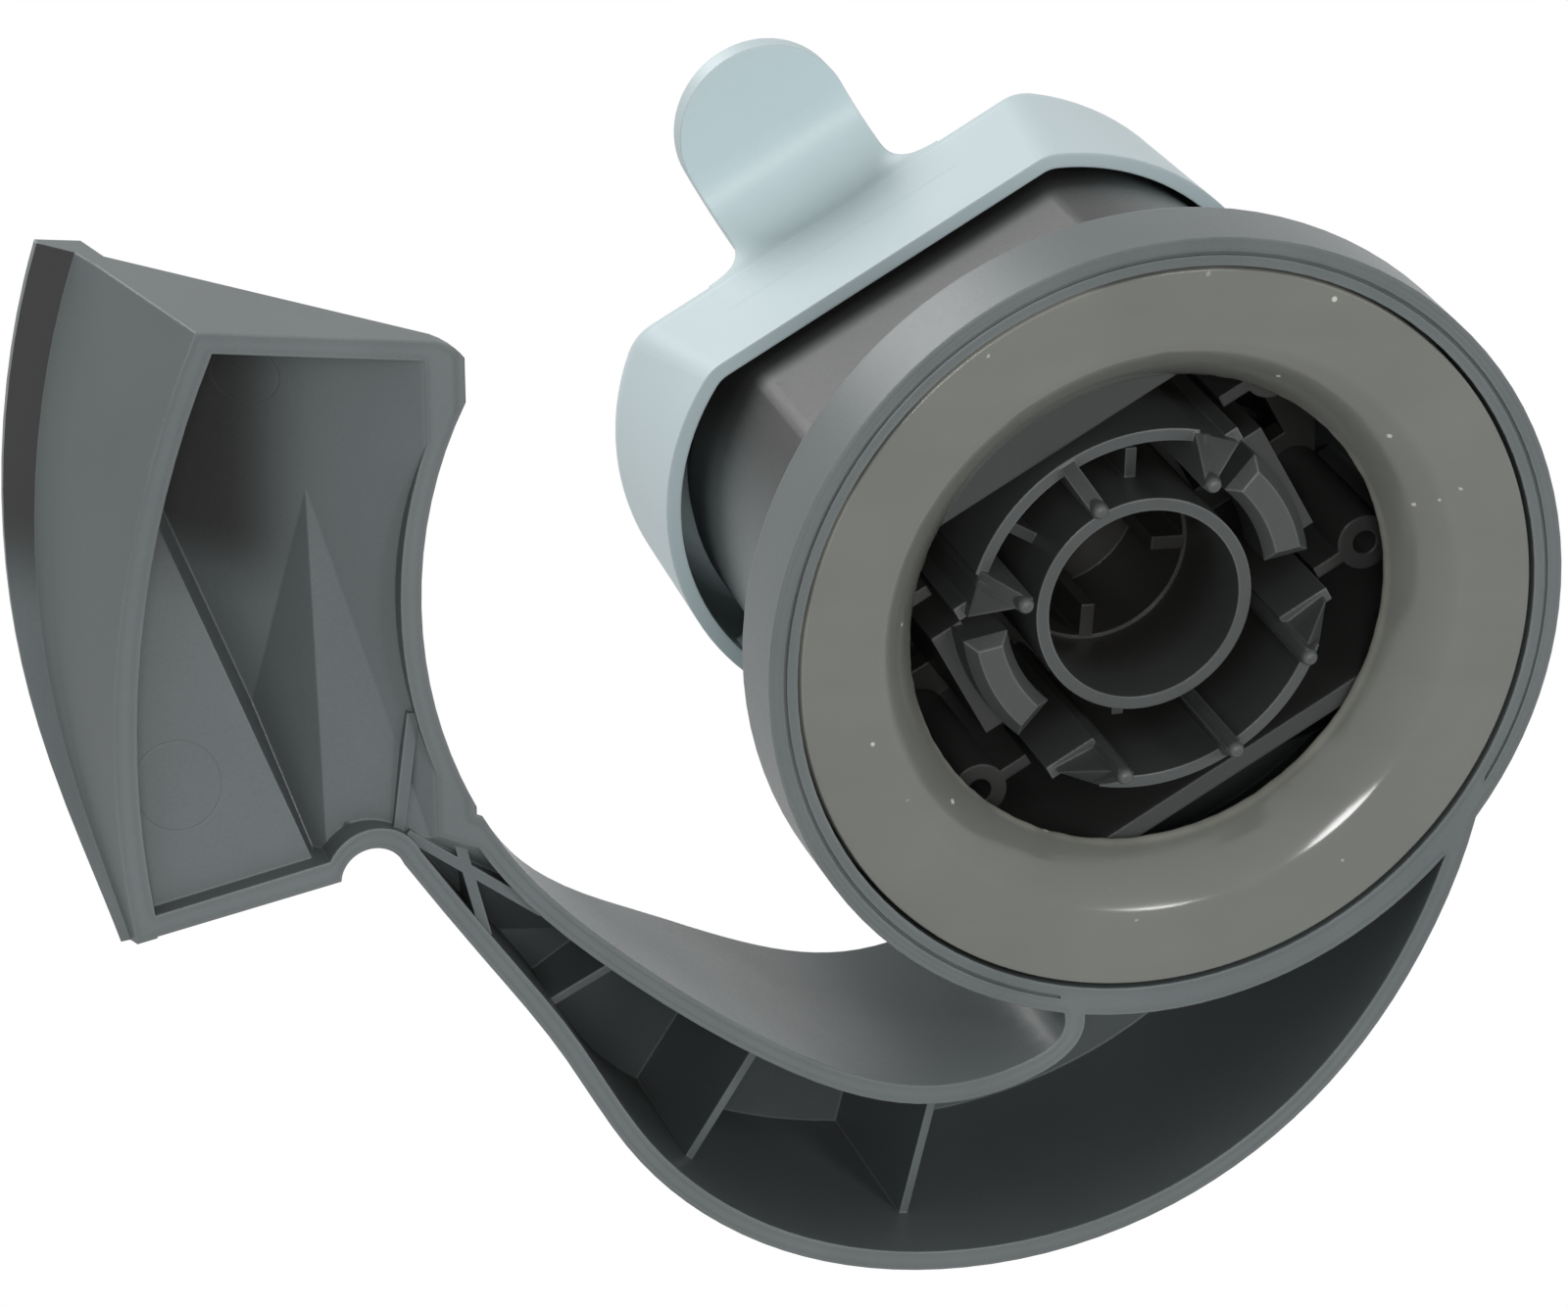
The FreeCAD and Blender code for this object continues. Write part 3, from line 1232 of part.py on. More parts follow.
def main():
    make_paddle_body()
    make_seal_ring()
    make_drive_hub()
    make_screws()
    make_tower_lid()
    make_latch_yoke()
    make_jaw("latch_jaw_left", -1)
    make_jaw("latch_jaw_right", 1)
    make_pins()
    make_springs()
    make_release_lever()
    check_and_export()


main()
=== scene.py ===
"""Looks of the air fryer stirring paddle: finishes, fine pieces, camera and studio."""

import logging
import math
from dataclasses import dataclass, field
from enum import Enum
from functools import cache
from typing import Any

import bmesh
import bpy
from mathutils import Matrix, Vector, noise


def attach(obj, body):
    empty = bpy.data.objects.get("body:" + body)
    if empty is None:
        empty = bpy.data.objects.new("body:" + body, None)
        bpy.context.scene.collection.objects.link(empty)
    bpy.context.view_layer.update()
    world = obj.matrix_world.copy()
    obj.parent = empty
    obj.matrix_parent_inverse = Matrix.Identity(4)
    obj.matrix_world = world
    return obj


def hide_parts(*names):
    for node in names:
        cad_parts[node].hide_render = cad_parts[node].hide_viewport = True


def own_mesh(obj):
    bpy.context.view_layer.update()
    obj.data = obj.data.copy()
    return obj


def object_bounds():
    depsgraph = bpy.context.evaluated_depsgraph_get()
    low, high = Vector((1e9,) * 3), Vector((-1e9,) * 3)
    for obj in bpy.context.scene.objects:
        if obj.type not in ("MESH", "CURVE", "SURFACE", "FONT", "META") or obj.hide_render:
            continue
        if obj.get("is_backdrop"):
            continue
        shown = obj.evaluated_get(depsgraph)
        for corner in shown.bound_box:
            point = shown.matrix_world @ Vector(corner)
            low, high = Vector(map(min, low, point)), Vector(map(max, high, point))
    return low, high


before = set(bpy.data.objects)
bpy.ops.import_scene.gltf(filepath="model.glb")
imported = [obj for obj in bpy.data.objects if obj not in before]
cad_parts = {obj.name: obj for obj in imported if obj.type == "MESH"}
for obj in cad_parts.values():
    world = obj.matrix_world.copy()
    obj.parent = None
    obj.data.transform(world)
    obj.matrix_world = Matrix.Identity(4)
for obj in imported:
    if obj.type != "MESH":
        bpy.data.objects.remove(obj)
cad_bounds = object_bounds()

Colour = tuple[float, float, float]
Place = tuple[float, float, float]
Point = tuple[float, float]
Span = tuple[float, float]

MM = 0.001
# The frame's origin is in the drive bore's mouth, this far above the plane of the rims.
MOUTH_HEIGHT = 8.0 * MM
HUB_TURN = math.radians(-32.0)
SEAL_RADIUS = 39.6
SEAL_HOLE_RADIUS = 26.0
# The middle point of a rounded corner lies this share of its radius from both sides.
ROUNDING_SHARE = 0.3
SMOOTH_ANGLE = math.radians(35.0)

logging.basicConfig(level=logging.INFO, format="%(message)s")
log = logging.getLogger("paddle")


class Slot(Enum):
    """Material slot names for the scene's own pieces, handed to settle, which doesn't use them."""

    SEAL = "seal_rubber"
    PIN = "pin_steel"
    SPRING = "spring_steel"


class Term:
    """A socket that carries arithmetic, so that an expression on terms adds its Math nodes."""

    def __init__(self, graph: "Graph", socket: bpy.types.NodeSocket) -> None:
        """Keep the graph and the socket."""
        self.graph = graph
        self.socket = socket

    def math(self, operation: str, *values: Any) -> "Term":
        """The result of a Math node, whose inputs take this term and then the values."""
        inputs = dict(enumerate((self, *values)))
        return self.graph.add("ShaderNodeMath", {"operation": operation}, inputs)

    def __add__(self, other: Any) -> "Term":
        """This plus another."""
        return self.math("ADD", other)

    def __sub__(self, other: Any) -> "Term":
        """This less another."""
        return self.math("SUBTRACT", other)

    def __rsub__(self, other: Any) -> "Term":
        """A number less this."""
        return self.math("MULTIPLY", -1.0) + other

    def __mul__(self, other: Any) -> "Term":
        """This times another."""
        return self.math("MULTIPLY", other)

    __radd__ = __add__
    __rmul__ = __mul__

    def capped(self) -> "Term":
        """This, but never more than 1."""
        return self.math("MINIMUM", 1.0)

    def step(self, low: float, high: float) -> "Term":
        """A smooth rise from 0 at low to 1 at high, or a fall where high is the smaller."""
        inputs = {"Value": self, "From Min": low, "From Max": high}
        return self.graph.add("ShaderNodeMapRange", {"interpolation_type": "SMOOTHSTEP"}, inputs)

    def near(self, centre: float, half_width: float) -> "Term":
        """1 at a value, falling to 0 at half a width on both sides."""
        return (self - centre).math("ABSOLUTE").step(half_width, 0.0)


def distance(x: Term, y: Term) -> Term:
    """How far a point is from where both of its terms are 0."""
    return (x * x + y * y).math("SQRT")


def swayed(middle: Any, *patterns: tuple[Term, float]) -> Term:
    """A middle value, and patterns from 0 to 1 that each push it up and down by a range."""
    sways = [(pattern - 0.5) * push for pattern, push in patterns]
    return sum(sways[1:], start=sways[0]) + middle


class Graph:
    """Adds and joins the nodes of one tree, for shaders and for geometry."""

    def __init__(self, tree: bpy.types.NodeTree) -> None:
        """Keep the tree."""
        self.tree = tree

    @classmethod
    def of(cls, owner: bpy.types.ID) -> "Graph":
        """Empty the shader nodes of a material or a world.

        Args:
            owner: the material or the world.

        Returns:
            A graph on its empty tree.
        """
        owner.use_nodes = True
        owner.node_tree.nodes.clear()
        return cls(owner.node_tree)

    def node(self, kind: str, settings: dict[str, Any] | None = None,
             inputs: dict[Any, Any] | None = None) -> bpy.types.Node:
        """Add any node.

        Args:
            kind: the node's type name.
            settings: properties that are set first.
            inputs: values or links, by socket name or index.

        Returns:
            The node.
        """
        made = self.tree.nodes.new(kind)
        for name, value in (settings or {}).items():
            setattr(made, name, value)
        for key, value in (inputs or {}).items():
            socket = made.inputs[key]
            if isinstance(value, Term):
                self.tree.links.new(value.socket, socket)
            elif isinstance(value, bpy.types.NodeSocket):
                self.tree.links.new(value, socket)
            else:
                socket.default_value = value
        return made

    def add(self, kind: str, settings: dict[str, Any] | None = None,
            inputs: dict[Any, Any] | None = None, output: Any = 0) -> Term:
        """Add a node as node does, and take the output of a name or an index as a term."""
        return Term(self, self.node(kind, settings, inputs).outputs[output])

    def feed(self, shader: bpy.types.Node, **sockets: Term) -> None:
        """Link terms to a shader's inputs, whose names are written with underscores."""
        for name, term in sockets.items():
            self.tree.links.new(term.socket, shader.inputs[name.replace("_", " ")])

    def place(self) -> Term:
        """The place on the piece, as its Object coordinates."""
        return self.add("ShaderNodeTexCoord", output="Object")

    def split(self, vector: Term) -> tuple[Term, ...]:
        """A vector's three numbers."""
        made = self.node("ShaderNodeSeparateXYZ", None, {0: vector})
        return tuple(Term(self, socket) for socket in made.outputs)

    def mix(self, share: Any, first: Any, second: Any) -> Term:
        """Mix two colours.

        Args:
            share: how much of the second.
            first: a colour or a term.
            second: a colour or a term.

        Returns:
            The mixed colour.
        """
        pair = [value if isinstance(value, Term) else (*value, 1.0) for value in (first, second)]
        inputs = {0: share, 6: pair[0], 7: pair[1]}
        return self.add("ShaderNodeMix", {"data_type": "RGBA"}, inputs, output=2)


@dataclass(frozen=True)
class Pattern:
    """A soft noise: its cells to the metre, its finer layers, its stretch and its turn."""

    scale: float = 1.0
    detail: float = 2.0
    stretch: Place | None = None
    turn: Place = (0.0, 0.0, 0.0)

    def on(self, graph: Graph, place: Term) -> Term:
        """Add the noise to a graph.

        Args:
            graph: the material's graph.
            place: the coordinates that it is read at.

        Returns:
            The noise, from 0 to 1.
        """
        if self.stretch:
            mapping = {"Vector": place, "Scale": self.stretch, "Rotation": self.turn}
            place = graph.add("ShaderNodeMapping", None, mapping)
        inputs = {"Vector": place, "Scale": self.scale, "Detail": self.detail}
        return graph.add("ShaderNodeTexNoise", None, inputs)


@dataclass(frozen=True)
class Finish:
    """What every finish shares: its name, colour, gloss, soft edges and fine relief."""

    name: str
    colour: Colour
    roughness: float
    tones: Span = (0.8, 1.2)
    relief: float = 0.2
    relief_depth: float = 0.05 * MM
    edge_radius: float = 0.35 * MM
    edge_samples: int = 4
    edge_span: Span = (0.005, 0.14)

    @cache
    def material(self) -> bpy.types.Material:
        """Make the material the first time that it is asked for.

        Returns:
            The material, whose nodes are drawn by the finish's own paint method.
        """
        made = bpy.data.materials.new(self.name)
        graph = Graph.of(made)
        shader = graph.node("ShaderNodeBsdfPrincipled", None, {"Roughness": self.roughness})
        graph.node("ShaderNodeOutputMaterial", None, {"Surface": shader.outputs[0]})
        self.paint(graph, shader)
        return made

    def paint(self, graph: Graph, shader: bpy.types.Node) -> None:
        """Draw the finish on its shader, as each kind of finish does in its own way."""
        raise NotImplementedError

    def toned(self, share: float) -> Colour:
        """The colour made darker or paler by a share."""
        return tuple(min(share * value, 1.0) for value in self.colour)

    def shaded(self, graph: Graph, shade: Term) -> Term:
        """The colour in its first tone where the shade is 0 and in its second where it is 1."""
        first, second = (self.toned(share) for share in self.tones)
        return graph.mix(shade, first, second)

    def bumped(self, graph: Graph, height: Term, normal: Term | None = None) -> Term:
        """A normal with the finish's relief on it.

        Args:
            graph: the material's graph.
            height: the relief's height, as a share of its depth.
            normal: the normal under the relief, or none for the face's own.

        Returns:
            The normal with the relief.
        """
        inputs = {"Strength": self.relief, "Distance": self.relief_depth, "Height": height}
        if normal is not None:
            inputs["Normal"] = normal
        return graph.add("ShaderNodeBump", None, inputs)

    def soft_normal(self, graph: Graph) -> Term:
        """The surface's normal, rounded over its edges."""
        settings = {"samples": self.edge_samples}
        return graph.add("ShaderNodeBevel", settings, {"Radius": self.edge_radius})

    def edge_mask(self, graph: Graph, soft: Term) -> Term:
        """0 on a plain face and 1 on a sharp edge, found from the rounded normal."""
        return self.turned_away(graph, soft).step(*self.edge_span)

    def turned_away(self, graph: Graph, rounded: Term) -> Term:
        """How far a rounded normal turns away from the face's own.

        Args:
            graph: the material's graph.
            rounded: the rounded normal.

        Returns:
            0 on a plain face, growing towards an edge.
        """
        sharp = graph.add("ShaderNodeNewGeometry", output="Normal")
        alike = graph.add("ShaderNodeVectorMath", {"operation": "DOT_PRODUCT"},
                          {0: rounded, 1: sharp}, output="Value")
        return 1.0 - alike


@dataclass(frozen=True)
class MattMoulding(Finish):
    """Glass-filled plastic: clouded grey with flow streaks, rubbed edges and painted shade in the
    hollows.

    The worn colour goes on the edges and the rims. Painted shade, a near-black colour standing in
    for shadow, goes inside the tower, in tight corners and in the blade's pocket. A darker line
    runs along the rims, and each ejector pin, given as its place and radius in millimetres, leaves
    a ring.
    """

    tones: Span = (0.72, 1.28)
    relief: float = 0.35
    sheen: float = 0.3
    cloud: Pattern = Pattern(38.0, 4.0)
    flow: Pattern = Pattern(1.0, 5.0, (90.0, 22.0, 60.0), (0.0, 0.0, 0.6))
    speck: Pattern = Pattern(2600.0, 1.0)
    grain: Pattern = Pattern(700.0)
    clouding: float = 0.55
    streak: float = 0.35
    speckle: float = 0.22
    worn: Colour = (0.30, 0.31, 0.31)
    worn_patches: Span = (0.25, 0.65)
    edge_wear: float = 0.75
    rim_wear: float = 0.16
    rim_rise: Span = (-7.6 * MM, -7.9 * MM)
    rim_flow: float = 0.8
    rim_cloud: float = 0.6
    # Painted shade: this near-black colour stands in for shadow inside the tower's mouth, in
    # corners found by ambient occlusion and in the blade's pocket
    grime: Colour = (0.018, 0.016, 0.014)
    mouth_radius: float = 33.0 * MM
    mouth_fade: float = 0.9
    inner_span: Span = (-6.0 * MM, 1.0 * MM)
    inner_shade: float = 0.88
    corner_samples: int = 3
    corner_reach: float = 32.0 * MM
    corner_span: Span = (0.82, 0.40)
    corner_shade: float = 0.45
    pocket_tilt: Span = (-0.5, -0.75)
    pocket_rise: Span = (-3.0 * MM, 4.0 * MM)
    pocket_reach: Span = (-70.0 * MM, -88.0 * MM)
    pocket_width: Span = (-2.0 * MM, -14.0 * MM)
    pocket_shade: float = 0.85
    line_samples: int = 5
    line_reach: float = 1.3 * MM
    line_turn: float = 0.035
    line_rise: Span = (-7.8 * MM, -7.95 * MM)
    line_strength: float = 1.5
    ejectors: tuple[tuple[float, float, float], ...] = ()
    ring_width: float = 0.18 * MM
    ring_rise: Span = (10.0 * MM, 9.0 * MM)
    ring_strength: float = 0.5
    mark_tone: float = 0.4
    mark_shade: float = 0.55
    mark_depth: float = 1.5
    speck_height: float = 0.6
    grain_height: float = 0.4
    cloud_gloss: float = 0.16
    speck_gloss: float = 0.14
    edge_gloss: float = 0.06

    def paint(self, graph: Graph, shader: bpy.types.Node) -> None:
        """Draw the finish on its shader.

        Args:
            graph: the material's graph.
            shader: its shader node.
        """
        place = graph.place()
        soft = self.soft_normal(graph)
        edge = self.edge_mask(graph, soft)
        cloud, flow, speck, grain = (pattern.on(graph, place) for pattern in
                                     (self.cloud, self.flow, self.speck, self.grain))
        marks = self.marks(graph, place)
        low = graph.split(place)[2].step(*self.rim_rise)
        rim = low * (flow * self.rim_flow + cloud * self.rim_cloud)
        rubbed = (edge * cloud.step(*self.worn_patches) * self.edge_wear).capped()
        body = self.shaded(graph, swayed(0.5, (cloud, self.clouding), (flow, self.streak),
                                         (speck, self.speckle)))
        body = graph.mix(rim * self.rim_wear, body, self.worn)
        body = graph.mix(rubbed, body, self.worn)
        # Painted shade: darken the colour inside the tower, in tight corners and in the blade's
        # pocket
        body = graph.mix(self.hollows(graph, place), body, self.grime)
        body = graph.mix(marks * self.mark_shade, body, self.toned(self.mark_tone))
        height = speck * self.speck_height + grain * self.grain_height - marks * self.mark_depth
        gloss = swayed(self.roughness, (cloud, self.cloud_gloss), (speck, self.speck_gloss))
        shader.inputs["Specular IOR Level"].default_value = self.sheen
        graph.feed(shader, Base_Color=body, Roughness=gloss - edge * self.edge_gloss,
                   Normal=self.bumped(graph, height, soft))

    def hollows(self, graph: Graph, place: Term) -> Term:
        """The painted shade inside the tower, in the tight corners and in the blade's pocket.

        Args:
            graph: the material's graph.
            place: the place on the piece.

        Returns:
            0 where no shade is painted and 1 where only the painted shade colour shows.
        """
        x, y, z = graph.split(place)
        inside = distance(x, y).step(self.mouth_radius, self.mouth_fade * self.mouth_radius)
        inside = inside * z.step(*self.inner_span)
        # Painted shade in corners: ambient occlusion darkens the colour where little is open around
        # it
        openness = graph.add("ShaderNodeAmbientOcclusion", {"samples": self.corner_samples},
                             {"Distance": self.corner_reach}, output="AO")
        corner = openness.step(*self.corner_span) * self.corner_shade
        facing = graph.split(graph.add("ShaderNodeNewGeometry", output="Normal"))[2]
        pocket = facing.step(*self.pocket_tilt) * z.step(*self.pocket_rise)
        pocket = pocket * x.step(*self.pocket_reach) * y.step(*self.pocket_width)
        deepest = (inside * self.inner_shade).math("MAXIMUM", corner)
        return deepest.math("MAXIMUM", pocket * self.pocket_shade)

    def marks(self, graph: Graph, place: Term) -> Term:
        """The line along the rims and the rings that the ejector pins left.

        Args:
            graph: the material's graph.
            place: the place on the piece.

        Returns:
            0 beside the marks, growing to their strength in them.
        """
        x, y, z = graph.split(place)
        wide = graph.add("ShaderNodeBevel", {"samples": self.line_samples},
                         {"Radius": self.line_reach})
        line = self.turned_away(graph, wide).near(self.line_turn, self.line_turn)
        drawn = line * z.step(*self.line_rise) * self.line_strength
        for centre_x, centre_y, radius in self.ejectors:
            off_centre = distance(x - centre_x * MM, y - centre_y * MM)
            ring = off_centre.near(radius * MM, self.ring_width)
            drawn = drawn.math("MAXIMUM", ring * z.step(*self.ring_rise) * self.ring_strength)
        return drawn


@dataclass(frozen=True)
class SealMoulding(Finish):
    """Semi-gloss rubber: olive grey with faint flow, pale specks, scratches and trimmed edges."""

    relief: float = 0.25
    relief_depth: float = 0.08 * MM
    cloud: Pattern = Pattern(55.0, 3.0)
    flow: Pattern = Pattern(1.0, 4.0, (30.0, 160.0, 60.0), (0.0, 0.0, 0.5))
    grain: Pattern = Pattern(420.0)
    clouding: float = 0.7
    streak: float = 0.4
    speck_colour: Colour = (0.55, 0.55, 0.5)
    speck_scale: float = 330.0
    speck_size: Span = (0.12, 0.07)
    speck_patches: Pattern = Pattern(150.0, 1.0)
    speck_span: Span = (0.60, 0.63)
    scratch: Pattern = Pattern(1.0, 2.0, (1500.0, 110.0, 700.0), (0.0, 0.0, 1.1))
    scratch_span: Span = (0.76, 0.80)
    scratch_patches: Span = (0.45, 0.6)
    scratch_shade: float = 0.35
    trimmed: Colour = (0.34, 0.34, 0.30)
    trimmed_patches: Span = (0.3, 0.55)
    trimmed_shade: float = 0.8
    hole_trim: float = 0.45 * MM
    outer_trim: float = 0.35 * MM
    grain_height: float = 0.5
    cloud_height: float = 0.5
    cloud_gloss: float = 0.2
    speck_gloss: float = 0.2

    def paint(self, graph: Graph, shader: bpy.types.Node) -> None:
        """Draw the finish on its shader.

        Args:
            graph: the material's graph.
            shader: its shader node.
        """
        place = graph.place()
        soft = self.soft_normal(graph)
        cloud, flow, grain = (pattern.on(graph, place) for pattern in
                              (self.cloud, self.flow, self.grain))
        x, y, _ = graph.split(place)
        radius = distance(x, y)
        specks = self.specks(graph, place, cloud)
        lip = (radius.near(SEAL_HOLE_RADIUS * MM, self.hole_trim)
               + radius.near(SEAL_RADIUS * MM, self.outer_trim))
        lip = (lip * cloud.step(*self.trimmed_patches)).capped()
        body = self.shaded(graph, swayed(0.5, (cloud, self.clouding), (flow, self.streak)))
        body = graph.mix(lip * self.trimmed_shade, body, self.trimmed)
        body = graph.mix(specks, body, self.speck_colour)
        height = grain * self.grain_height + cloud * self.cloud_height + specks
        gloss = swayed(self.roughness, (cloud, self.cloud_gloss)) + specks * self.speck_gloss
        graph.feed(shader, Base_Color=body, Roughness=gloss,
                   Normal=self.bumped(graph, height, soft))

    def specks(self, graph: Graph, place: Term, cloud: Term) -> Term:
        """The pale specks of dust and the short scratches.

        Args:
            graph: the material's graph.
            place: the place on the piece.
            cloud: the clouding, which leaves some stretches without scratches.

        Returns:
            1 in a speck, less in a scratch and 0 elsewhere.
        """
        dust = graph.add("ShaderNodeTexVoronoi", None, {"Vector": place, "Scale": self.speck_scale})
        picked = self.speck_patches.on(graph, place).step(*self.speck_span)
        scratch = self.scratch.on(graph, place).step(*self.scratch_span)
        scratch = scratch * cloud.step(*self.scratch_patches) * self.scratch_shade
        return (dust.step(*self.speck_size) * picked).math("MAXIMUM", scratch)


@dataclass(frozen=True)
class SatinMoulding(Finish):
    """Satin coloured plastic: nearly even, with faint sink marks, scuffs and paler edges."""

    tones: Span = (0.93, 1.05)
    relief: float = 0.15
    cloud: Pattern = Pattern(30.0, 3.0)
    fine: Pattern = Pattern(3200.0, 1.0)
    clouding: float = 1.2
    speckle: float = 0.3
    edge_colour: Colour = (0.72, 0.78, 0.80)
    edge_shade: float = 0.5
    scuff: Pattern = Pattern(1.0, 3.0, (700.0, 40.0, 300.0), (0.3, 0.2, 0.9))
    scuff_span: Span = (0.70, 0.78)
    scuff_patches: Span = (0.45, 0.6)
    scuff_shade: float = 0.25
    fine_height: float = 0.4
    cloud_height: float = 0.6
    cloud_gloss: float = 0.12
    fine_gloss: float = 0.06
    scuff_gloss: float = 0.1

    def paint(self, graph: Graph, shader: bpy.types.Node) -> None:
        """Draw the finish on its shader.

        Args:
            graph: the material's graph.
            shader: its shader node.
        """
        place = graph.place()
        soft = self.soft_normal(graph)
        edge = self.edge_mask(graph, soft)
        cloud, fine, scuff = (pattern.on(graph, place) for pattern in
                              (self.cloud, self.fine, self.scuff))
        scuff = scuff.step(*self.scuff_span) * cloud.step(*self.scuff_patches)
        body = self.shaded(graph, swayed(0.5, (cloud, self.clouding), (fine, self.speckle)))
        body = graph.mix(edge * self.edge_shade, body, self.edge_colour)
        body = graph.mix(scuff * self.scuff_shade, body, self.toned(self.tones[0]))
        height = fine * self.fine_height + cloud * self.cloud_height
        gloss = swayed(self.roughness, (cloud, self.cloud_gloss), (fine, self.fine_gloss))
        graph.feed(shader, Base_Color=body, Roughness=gloss + scuff * self.scuff_gloss,
                   Normal=self.bumped(graph, height, soft))


@dataclass(frozen=True)
class TurnedSteel(Finish):
    """Turned or drawn stainless steel with fine lines across its length and faint stains."""

    tones: Span = (1.0, 0.75)
    relief_depth: float = 0.02 * MM
    lines: Pattern = Pattern(1.0, 2.0, (400.0, 400.0, 4000.0))
    stain: Pattern = Pattern(240.0, 3.0)
    stain_shade: float = 0.7
    line_shade: float = 0.3
    line_gloss: float = 0.2
    stain_gloss: float = 0.15

    def paint(self, graph: Graph, shader: bpy.types.Node) -> None:
        """Draw the finish on its shader.

        Args:
            graph: the material's graph.
            shader: its shader node.
        """
        place = graph.place()
        lines, stain = (pattern.on(graph, place) for pattern in (self.lines, self.stain))
        body = self.shaded(graph, swayed(stain * self.stain_shade, (lines, self.line_shade)))
        gloss = swayed(self.roughness, (lines, self.line_gloss), (stain, self.stain_gloss))
        shader.inputs["Metallic"].default_value = 1.0
        graph.feed(shader, Base_Color=body, Roughness=gloss, Normal=self.bumped(graph, lines))


class Look(Enum):
    """The part's finishes."""

    BODY = MattMoulding("glass_filled_grey", (0.122, 0.141, 0.144), 0.38,
                        ejectors=((-102.3, 11.3, 4.4), (-95.5, -29.7, 2.9)))
    # The hub's painted shade inside the tower spans a deeper range of heights
    HUB = MattMoulding("hub_grey", (0.080, 0.087, 0.087), 0.36, streak=0.2,
                       inner_span=(-3.0 * MM, 13.0 * MM))
    SEAL = SealMoulding("olive_seal", (0.165, 0.172, 0.155), 0.16)
    LEVER = SatinMoulding("pale_blue_grey", (0.53, 0.64, 0.665), 0.42)
    PIN = TurnedSteel("turned_steel", (0.55, 0.55, 0.54), 0.30)
    SPRING = TurnedSteel("spring_wire", (0.42, 0.42, 0.43), 0.34)

    def material(self) -> bpy.types.Material:
        """The finish's one material."""
        return self.value.material()


def on_hub(x: float, y: float, height: float) -> Vector:
    """The frame's point for millimetres along the tower, away from the tab and above the rims."""
    turned = Matrix.Rotation(HUB_TURN, 3, "Z") @ Vector((x, y, 0.0))
    return Vector((turned.x * MM, turned.y * MM, height * MM - MOUTH_HEIGHT))


def round_axis(reach: float, angle: float, height: float) -> Place:
    """A point at a distance from Z, at an angle from X and at a height."""
    return (reach * math.cos(angle), reach * math.sin(angle), height)


def curve(start: Point, bend: Point, end: Point, steps: int) -> list[Point]:
    """Points along a quadratic curve, both ends included.

    Args:
        start: where it starts.
        bend: the corner that it rounds.
        end: where it ends.
        steps: how many stretches it is cut into.

    Returns:
        The points.
    """
    points = []
    for index in range(steps + 1):
        share = index / steps
        rest = 1 - share
        points.append(tuple(rest * rest * start[axis] + 2 * rest * share * bend[axis]
                            + share * share * end[axis] for axis in (0, 1)))
    return points


def piece_from(name: str, mesh: bmesh.types.BMesh,
               material: bpy.types.Material) -> bpy.types.Object:
    """Turn a bmesh into a smooth object in the scene, with its sharp edges kept.

    Args:
        name: the object's name.
        mesh: the geometry, in the shared frame. It is freed.
        material: its finish.

    Returns:
        The object.
    """
    data = bpy.data.meshes.new(name)
    mesh.to_mesh(data)
    mesh.free()
    made = bpy.data.objects.new(name, data)
    bpy.context.scene.collection.objects.link(made)
    data.materials.append(material)
    data.polygons.foreach_set("use_smooth", [True] * len(data.polygons))
    data.set_sharp_from_angle(angle=SMOOTH_ANGLE)
    return made


def evaluated_mesh(thing: bpy.types.Object) -> bpy.types.Mesh:
    """A plain mesh of an object with its modifiers worked in."""
    view = bpy.context.evaluated_depsgraph_get()
    return bpy.data.meshes.new_from_object(thing.evaluated_get(view), depsgraph=view)


def turned_mesh(outline: list[Point], sides: int) -> bmesh.types.BMesh:
    """Turn an open outline about Z into a closed form.

    Args:
        outline: radius and height of each point in millimetres, the first and last on the axis.
        sides: how many faces go round.

    Returns:
        The closed mesh, in metres.
    """
    mesh = bmesh.new()
    first = mesh.verts.new((0.0, 0.0, outline[0][1] * MM))
    last = mesh.verts.new((0.0, 0.0, outline[-1][1] * MM))
    angles = [2 * math.pi * step / sides for step in range(sides)]
    rings = [[mesh.verts.new(round_axis(radius * MM, angle, height * MM)) for angle in angles]
             for radius, height in outline[1:-1]]
    for step in range(sides):
        after = (step + 1) % sides
        mesh.faces.new((first, rings[0][after], rings[0][step]))
        mesh.faces.new((last, rings[-1][step], rings[-1][after]))
        for lower, upper in zip(rings, rings[1:]):
            mesh.faces.new((lower[step], lower[after], upper[after], upper[step]))
    bmesh.ops.recalc_face_normals(mesh, faces=mesh.faces)
    return mesh


def settle(made: bpy.types.Object, body: str, slot: Slot, *nodes: str) -> None:
    """Put a finished piece on its body, in place of its CAD nodes.

    Args:
        made: the piece.
        body: the body it rides on.
        slot: the record's material slot; not used.
        nodes: the CAD nodes it stands for.
    """
    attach(made, body)
    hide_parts(*nodes)
    log.info("%s: %d faces on %s", made.name, len(made.data.polygons), body)


@dataclass
class MouldedNodes:
    """The mouldings whose CAD shape is right: each keeps its mesh and gets its finish."""

    looks: dict[str, Look] = field(default_factory=lambda: {
        "paddle_body": Look.BODY, "drive_hub": Look.HUB, "latch_jaw_left": Look.HUB,
        "latch_jaw_right": Look.HUB, "latch_yoke": Look.HUB, "tower_lid": Look.BODY,
        "release_lever": Look.LEVER})

    def dress(self) -> None:
        """Give each node its finish."""
        for node, look in self.looks.items():
            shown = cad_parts[node]
            shown.data.materials.clear()
            shown.data.materials.append(look.material())
            log.info("%s: %d faces, %s", node, len(shown.data.polygons), look.value.name)


